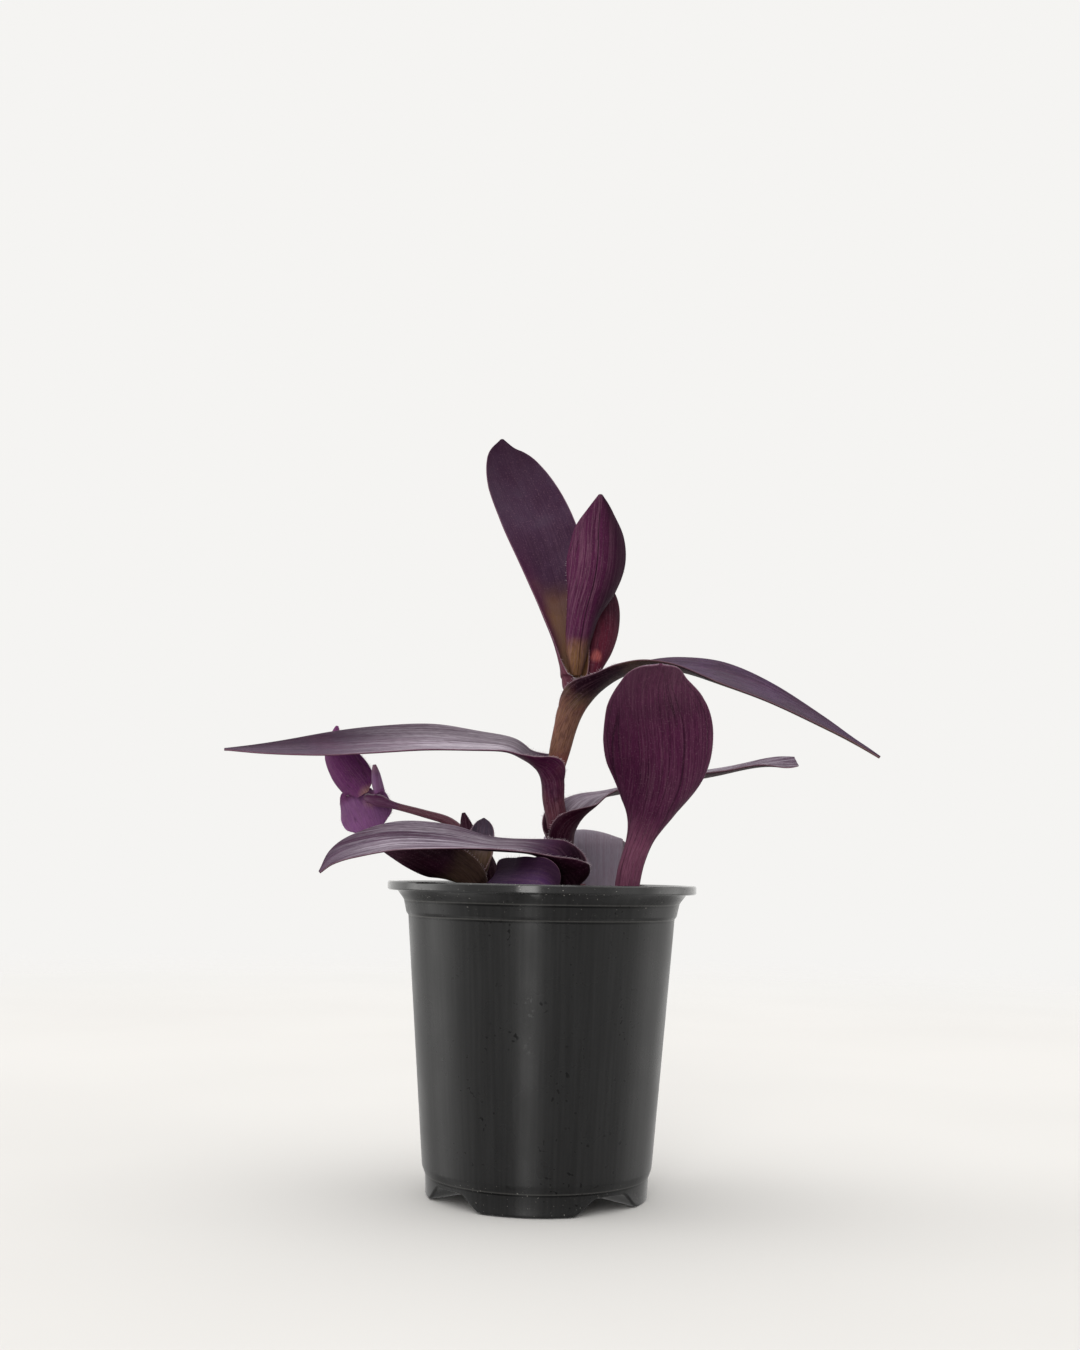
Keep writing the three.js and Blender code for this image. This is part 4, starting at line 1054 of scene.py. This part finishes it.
def blade_skin(name, looks, seed):
    """One face of a leaf: body and foot colours, clouds, bloom with painted sheen in brush streaks, painted
    shade towards a margin, veins, stripes and rim.
    """
    skin = Skin(name)
    across, along, run = skin.parts(skin.vector_attribute("place"))
    sideways = skin.number_attribute("spread")
    shade, margin = leaf_colour("shade"), leaf_colour("margin")
    wander = skin.noise(skin.here(), 0.09, 2.0) - 0.5
    cloud = skin.noise(skin.here(), 0.055, 3.0, 0.55)
    broad = skin.noise(skin.point(sideways * 0.36, run * 0.02, seed * 2.3), 1.0, 3.0, 0.6)
    brush = skin.noise(skin.point(sideways * 1.7, run * 0.03, seed * 3.7), 1.0, 3.0, 0.7)
    linen = skin.noise(skin.point(sideways * 4.2, run * 0.36, seed * 1.3), 1.0, 1.0)
    lines = skin.noise(skin.point(across * 7.0 + wander * 0.5, along * 0.7, seed * 5.1), 1.0, 0.0)
    vein = 1 - abs(lines - 0.5).between(0.0, 0.03)
    grain = skin.noise(skin.here(), 2.2, 1.0)

    foot_end = looks["foot_end"]
    low = (along + wander * 0.16).between(foot_end, foot_end * 0.45)
    colour = skin.mix(low, leaf_colour(looks["body"]), leaf_colour(looks["foot"]))
    colour = skin.mix(cloud.between(0.42, 0.66) * looks["clouds"], colour, leaf_colour(looks["blush"]))
    colour = skin.mix((1 - cloud).between(0.45, 0.7) * 0.3, colour, shade)
    if looks["flush"]:
        reach = (across * math.copysign(1.0, looks["flush"]) + wander * 0.5).between(0.2, 0.8)
        reach = reach * along.between(0.7, 0.2)
        colour = skin.mix(reach * abs(looks["flush"]), colour, leaf_colour("magenta"))
    # a soft spot of colour: the bracts' pale foot, or the painted glint at the inner leaf's foot
    if looks["spot"]:
        place, radius, tint, share = looks["spot"]
        away = skin.node("ShaderNodeVectorMath", {"operation": "DISTANCE"}, {0: skin.here(), 1: place}, 1)
        near = (away + brush * 2.0 + wander * 3.0).between(radius * 1.2 + 1.0, radius * 0.3 + 1.0)
        colour = skin.mix(near * share, colour, leaf_colour(tint))
    # bloom: the wax's grey, partly painted sheen, strongest where the upper faces catch the light
    if looks["bloom"] > 0:
        start, until, streaky = looks["bloom_from"], looks["bloom_until"], looks["brush"]
        lie = along.between(start * 0.75, start * 1.4) * (1 - 0.9 * along.between(until, until + 0.35))
        streaks = brush.between(0.44, 0.58) * (0.5 * streaky) + broad.between(0.4, 0.6) * (0.4 * streaky)
        share = lie * (1 - 0.9 * streaky + streaks) * looks["bloom"]
        colour = skin.mix(share, colour, leaf_colour("bloom"))
    colour = skin.mix((1 - brush).between(0.46, 0.62) * looks["lines"], colour, margin)
    colour = skin.mix(linen.between(0.45, 0.62) * looks["linen"], colour, shade)
    colour = skin.mix(vein * (0.65 * looks["veins"]), colour, shade)
    colour = skin.mix(grain.between(0.6, 0.7) * 0.16, colour, margin)
    if looks["midrib"] > 0:
        rib = 1 - abs(across + wander * 0.03).between(0.0, 0.035)
        colour = skin.mix(rib * looks["midrib"], colour, shade)
    # painted shade: one half of the blade darker, where it turns from the light
    if looks["side"]:
        reach = (across * math.copysign(1.0, looks["side"])).between(-0.05, 0.68)
        colour = skin.mix(reach * abs(looks["side"]), colour, shade)
    if looks["tip"]:
        end_colour = shade if looks["tip"] > 0 else margin
        colour = skin.mix(along.between(0.6, 1.0) * abs(looks["tip"]), colour, end_colour)
    colour = skin.mix(abs(across).between(0.975, 0.995) * 0.4, colour, margin)
    skin.set(Base_Color=colour, Roughness=0.42 + 0.16 * linen + 0.1 * cloud, Specular_IOR_Level=0.08)
    skin.bump(linen * 0.7 + brush * 0.6 + grain * 0.25 - vein * (0.5 * looks["veins"]), 0.4, 0.00025)
    return skin.material


def grow_leaves(chosen):
    """Grows the leaves that are chosen by their names, each with a skin for either face."""
    settings = bpy.context.scene.plant_leaves
    for seed, (name, rows) in enumerate(LEAVES.items()):
        if not chosen(name):
            continue
        piece = leaf_piece(f"{name}_blade", rows, settings)
        upper, under = LEAF_FACES[name]
        plain_name = name.replace("_", " ")
        piece.data.materials.append(blade_skin(f"{plain_name} upper face", upper, seed))
        piece.data.materials.append(blade_skin(f"{plain_name} underside", under, seed + 0.5))
        settle(piece, name)


# ---------------------------------------------------------------- hairs

def hair_roots():
    """Points on the leaves' margins, each with the way that its hair leans."""
    roots, leans = [], []
    for name, (start, end, count) in HAIR_STRETCHES.items():
        for index in range(count):
            t = start + (end - start) * (index + 0.5) / count
            centre, face, side, half, turn = leaf_frame_at(LEAVES[name], t)
            along = np.cross(face, side)
            for sign in (-1, 1):
                angle = turn * sign
                outward = side * math.cos(angle) * sign + face * math.sin(turn)
                roots.append(centre + side * half * math.sin(angle) / turn
                             + face * half * (1 - math.cos(angle)) / turn - outward * 0.05)
                leans.append(outward * 0.9 - along * 0.15 + face * 0.35)
    return roots, leans


def hair_tree():
    """A tapered hair on each root, leaning its way with a little disorder."""
    tree = Grower("margin hairs", Material="NodeSocketMaterial", Length="NodeSocketFloat",
                  Radius="NodeSocketFloat", Seed="NodeSocketInt")
    lean = tree.node("GeometryNodeInputNamedAttribute", {"data_type": "FLOAT_VECTOR"}, {"Name": "lean"})
    stir = tree.node("FunctionNodeRandomValue", {"data_type": "FLOAT_VECTOR"},
                     {0: (-0.5, -0.5, -0.5), 1: (0.5, 0.5, 0.5), 8: tree.given("Seed")})
    way = tree.node("ShaderNodeVectorMath", {"operation": "ADD"}, {0: lean, 1: stir})
    turn = tree.node("FunctionNodeAlignRotationToVector", {"axis": "Z"}, {"Vector": way})
    length = tree.node("FunctionNodeRandomValue", {"data_type": "FLOAT"},
                       {2: 0.35, 3: 1.0, 8: tree.given("Seed") + 1}, 1) * tree.given("Length")
    hair = tree.node("GeometryNodeMeshCone", None,
                     {"Vertices": 4, "Radius Top": 0.12, "Radius Bottom": 1.0, "Depth": 1.0})
    roots = tree.node("GeometryNodeMeshToPoints", None, {"Mesh": tree.given("Geometry")})
    hairs = tree.node("GeometryNodeInstanceOnPoints", None,
                      {"Points": roots, "Instance": hair, "Rotation": turn,
                       "Scale": tree.point(tree.given("Radius"), tree.given("Radius"), length)})
    tree.finish(hairs)
    return tree


def hair_skin(settings):
    """Pale hairs, some paler."""
    skin = Skin("margin hair")
    tint = skin.noise(skin.here(), 0.3, 1.0).between(0.3, 0.7)
    skin.set(Base_Color=skin.mix(tint, rgba(settings.colour), scaled(settings.colour, 1.6)), Roughness=0.6)
    return skin.material


# ---------------------------------------------------------------- stage

def floor_piece(settings, sides=96):
    """A wide round floor that fades out into the surround."""
    turns = [i / sides * 2 * math.pi for i in range(sides)]
    rim = [(FLOOR_RADIUS * math.cos(turn), FLOOR_RADIUS * math.sin(turn), -0.05) for turn in turns]
    floor = mesh_piece("floor", rim, [range(sides)], smooth=False)
    skin = Skin("pale floor")
    drift = skin.noise(skin.here(), 0.004, 2.0).between(0.3, 0.7)
    x, y, z = skin.parts(skin.here())
    far = (x * x + y * y).maths("SQRT")
    skin.set(Base_Color=skin.mix(drift, rgba(settings.floor), scaled(settings.floor, 0.97)), Roughness=0.9,
             Specular_IOR_Level=0.0, Alpha=1 - far.between(*FLOOR_FADE))
    floor.data.materials.append(skin.material)
    return floor


def photo_camera(settings):
    """The camera at the photo's place, level, with its picture shifted up and slightly rolled."""
    data = bpy.data.cameras.new("photo camera")
    data.lens = settings.lens
    data.sensor_width = 36.0
    data.sensor_fit = "AUTO"
    data.shift_y = settings.shift
    data.clip_start = 0.01
    camera = linked(bpy.data.objects.new("photo camera", data))
    camera.location = settings.camera_at
    camera.rotation_euler = (math.radians(90), -settings.roll, 0)
    return camera


def studio_light(settings):
    """Soft light from all sides: stronger from above, weak from the front, with tall soft strips.

    A dark wall reflects it unevenly, but the camera sees only the even surround.
    """
    world = bpy.data.worlds.new("studio light")
    world.use_nodes = True
    studio = Recipe(world.node_tree)
    x, y, z = studio.parts(studio.node("ShaderNodeTexCoord"))
    turn = x.maths("ARCTAN2", y * -1)
    low = 1 - z.between(0.5, 0.85)
    front = (1 - abs(turn).between(1.0, 1.8)) * low
    level = 1 - (1 - settings.front) * front + (settings.above - 1) * z.between(0.45, 0.9)
    for place, width, share in SOFT_STRIPS:
        strip = (1 - abs(turn - place).between(width * 0.5, width * 1.5)) * low
        level = level + strip * (settings.strips * share)
    level = level * (1 - 0.6 * z.between(-0.15, -0.5))
    seen = studio.node("ShaderNodeLightPath")
    sky = world.node_tree.nodes["Background"]
    sky.inputs["Color"].default_value = rgba(settings.surround)
    world.node_tree.links.new((level + (1 - level) * seen).socket, sky.inputs["Strength"])
    return world


# ---------------------------------------------------------------- operators

class PLANT_OT_pot(bpy.types.Operator):
    """Builds the nursery pot with its lip, ledges, feet and drain holes"""
    bl_idname = "plant.pot"
    bl_label = "Nursery pot"

    def execute(self, context):
        settings = context.scene.plant_pot
        pot = mesh_piece("nursery_pot", *pot_mesh(settings))
        drill = mesh_piece("drain_drill", *drill_mesh())
        cut = pot.modifiers.new("drains", "BOOLEAN")
        cut.operation = "DIFFERENCE"
        cut.solver = "EXACT"
        cut.object = drill
        graph = context.evaluated_depsgraph_get()
        mesh = bpy.data.meshes.new_from_object(pot.evaluated_get(graph), depsgraph=graph)
        pot.modifiers.clear()
        pot.data = mesh
        discard(drill)
        pot.data.materials.clear()
        pot.data.materials.append(pot_skin(settings))
        settle(pot, "pot")
        return {"FINISHED"}


class PLANT_OT_soil(bpy.types.Operator):
    """Fills the pot with soil and strews crumbs on it"""
    bl_idname = "plant.soil"
    bl_label = "Potting soil"

    def execute(self, context):
        settings = context.scene.plant_soil
        block = mesh_piece("soil_block", *soil_mesh(), smooth=False)
        soil = soil_bed_tree().grow(block, "potting_soil", Material=soil_skin(settings), Clods=settings.clods,
                                    Crumbs=float(settings.crumbs), Size=settings.crumb_size,
                                    Level=SOIL_LEVEL * MM, Seed=settings.seed)
        settle(soil, "soil")
        return {"FINISHED"}


class PLANT_OT_stems(bpy.types.Operator):
    """Grows the leafy shoots and the flower stalk"""
    bl_idname = "plant.stems"
    bl_label = "Stems and flower stalk"

    def execute(self, context):
        settings = context.scene.plant_stems
        tree = stem_tree()
        shoot = stem_skin("shoot skin", settings.stem, settings.stem, 1.0)
        stalk = stem_skin("flower stalk skin", settings.stalk, settings.knuckle, 0.8)
        for name, rows in STEMS.items():
            axis = axis_curve(f"{name}_axis", rows, 12 * (len(rows) - 1))
            skin = stalk if name == "flower_stalk" else shoot
            piece = tree.grow(axis, f"{name}_shoot", Material=skin, Sides=settings.sides)
            settle(piece, name)
        return {"FINISHED"}


class PLANT_OT_leaves(bpy.types.Operator):
    """Grows the leaves on and round the main stem"""
    bl_idname = "plant.leaves"
    bl_label = "Leaves"

    def execute(self, context):
        grow_leaves(lambda name: name.startswith("leaf_") and "_low_" not in name)
        return {"FINISHED"}


class PLANT_OT_low_leaves(bpy.types.Operator):
    """Grows the low leaves of the small shoots"""
    bl_idname = "plant.low_leaves"
    bl_label = "Low leaves"

    def execute(self, context):
        grow_leaves(lambda name: name.startswith("leaf_low_"))
        return {"FINISHED"}


class PLANT_OT_bracts(bpy.types.Operator):
    """Grows the boat-shaped bracts and the bud spike"""
    bl_idname = "plant.bracts"
    bl_label = "Bracts and bud"

    def execute(self, context):
        grow_leaves(lambda name: name.startswith("bract_"))
        return {"FINISHED"}


class PLANT_OT_hairs(bpy.types.Operator):
    """Sets soft hairs on the margins of the sheaths, leaves and bracts"""
    bl_idname = "plant.hairs"
    bl_label = "Margin hairs"

    def execute(self, context):
        settings = context.scene.plant_hairs
        roots, leans = hair_roots()
        source = mesh_piece("hair_roots", roots, [])
        lean = source.data.attributes.new("lean", "FLOAT_VECTOR", "POINT")
        lean.data.foreach_set("vector", np.ravel(leans))
        hairs = hair_tree().grow(source, "margin_hairs", Material=hair_skin(settings),
                                 Length=settings.length, Radius=settings.radius, Seed=settings.seed)
        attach(hairs, BODY)
        return {"FINISHED"}


class PLANT_OT_stage(bpy.types.Operator):
    """Sets the floor, the lights and the camera"""
    bl_idname = "plant.stage"
    bl_label = "Floor, light and camera"

    def execute(self, context):
        settings = context.scene.plant_stage
        floor = floor_piece(settings)
        # without the floor in it, the pot's wall shows the tall lights down to its foot
        floor.visible_glossy = False
        context.scene.world = studio_light(settings)
        context.scene.camera = photo_camera(settings)
        context.scene.view_settings.view_transform = "Standard"
        return {"FINISHED"}


class PLANT_PT_panel(bpy.types.Panel):
    """Lists the steps that build the potted plant"""
    bl_idname = "PLANT_PT_panel"
    bl_label = "Potted Tradescantia"
    bl_space_type = "VIEW_3D"
    bl_region_type = "UI"
    bl_category = "Plant"

    def draw(self, context):
        for step in OPERATORS:
            self.layout.operator(step.bl_idname)
        for name in GROUPS:
            box = self.layout.box()
            group = getattr(context.scene, name)
            for field in group.bl_rna.properties:
                if field.identifier not in {"rna_type", "name"}:
                    box.prop(group, field.identifier)


GROUPS = {
    "plant_pot": PotSettings,
    "plant_soil": SoilSettings,
    "plant_stems": StemSettings,
    "plant_leaves": LeafSettings,
    "plant_bracts": BractSettings,
    "plant_hairs": HairSettings,
    "plant_stage": StageSettings,
}
OPERATORS = (PLANT_OT_stage, PLANT_OT_pot, PLANT_OT_soil, PLANT_OT_stems, PLANT_OT_leaves,
             PLANT_OT_low_leaves, PLANT_OT_bracts, PLANT_OT_hairs)


def register():
    for cls in (*GROUPS.values(), *OPERATORS, PLANT_PT_panel):
        bpy.utils.register_class(cls)
    for name, cls in GROUPS.items():
        setattr(bpy.types.Scene, name, PointerProperty(type=cls))


def unregister():
    for name in GROUPS:
        delattr(bpy.types.Scene, name)
    for cls in reversed((*GROUPS.values(), *OPERATORS, PLANT_PT_panel)):
        bpy.utils.unregister_class(cls)


def main():
    """Builds every piece in order."""
    register()
    bpy.ops.plant.stage()
    bpy.ops.plant.pot()
    bpy.ops.plant.soil()
    bpy.ops.plant.stems()
    bpy.ops.plant.leaves()
    bpy.ops.plant.low_leaves()
    bpy.ops.plant.bracts()
    bpy.ops.plant.hairs()


if __name__ == "__main__":
    main()
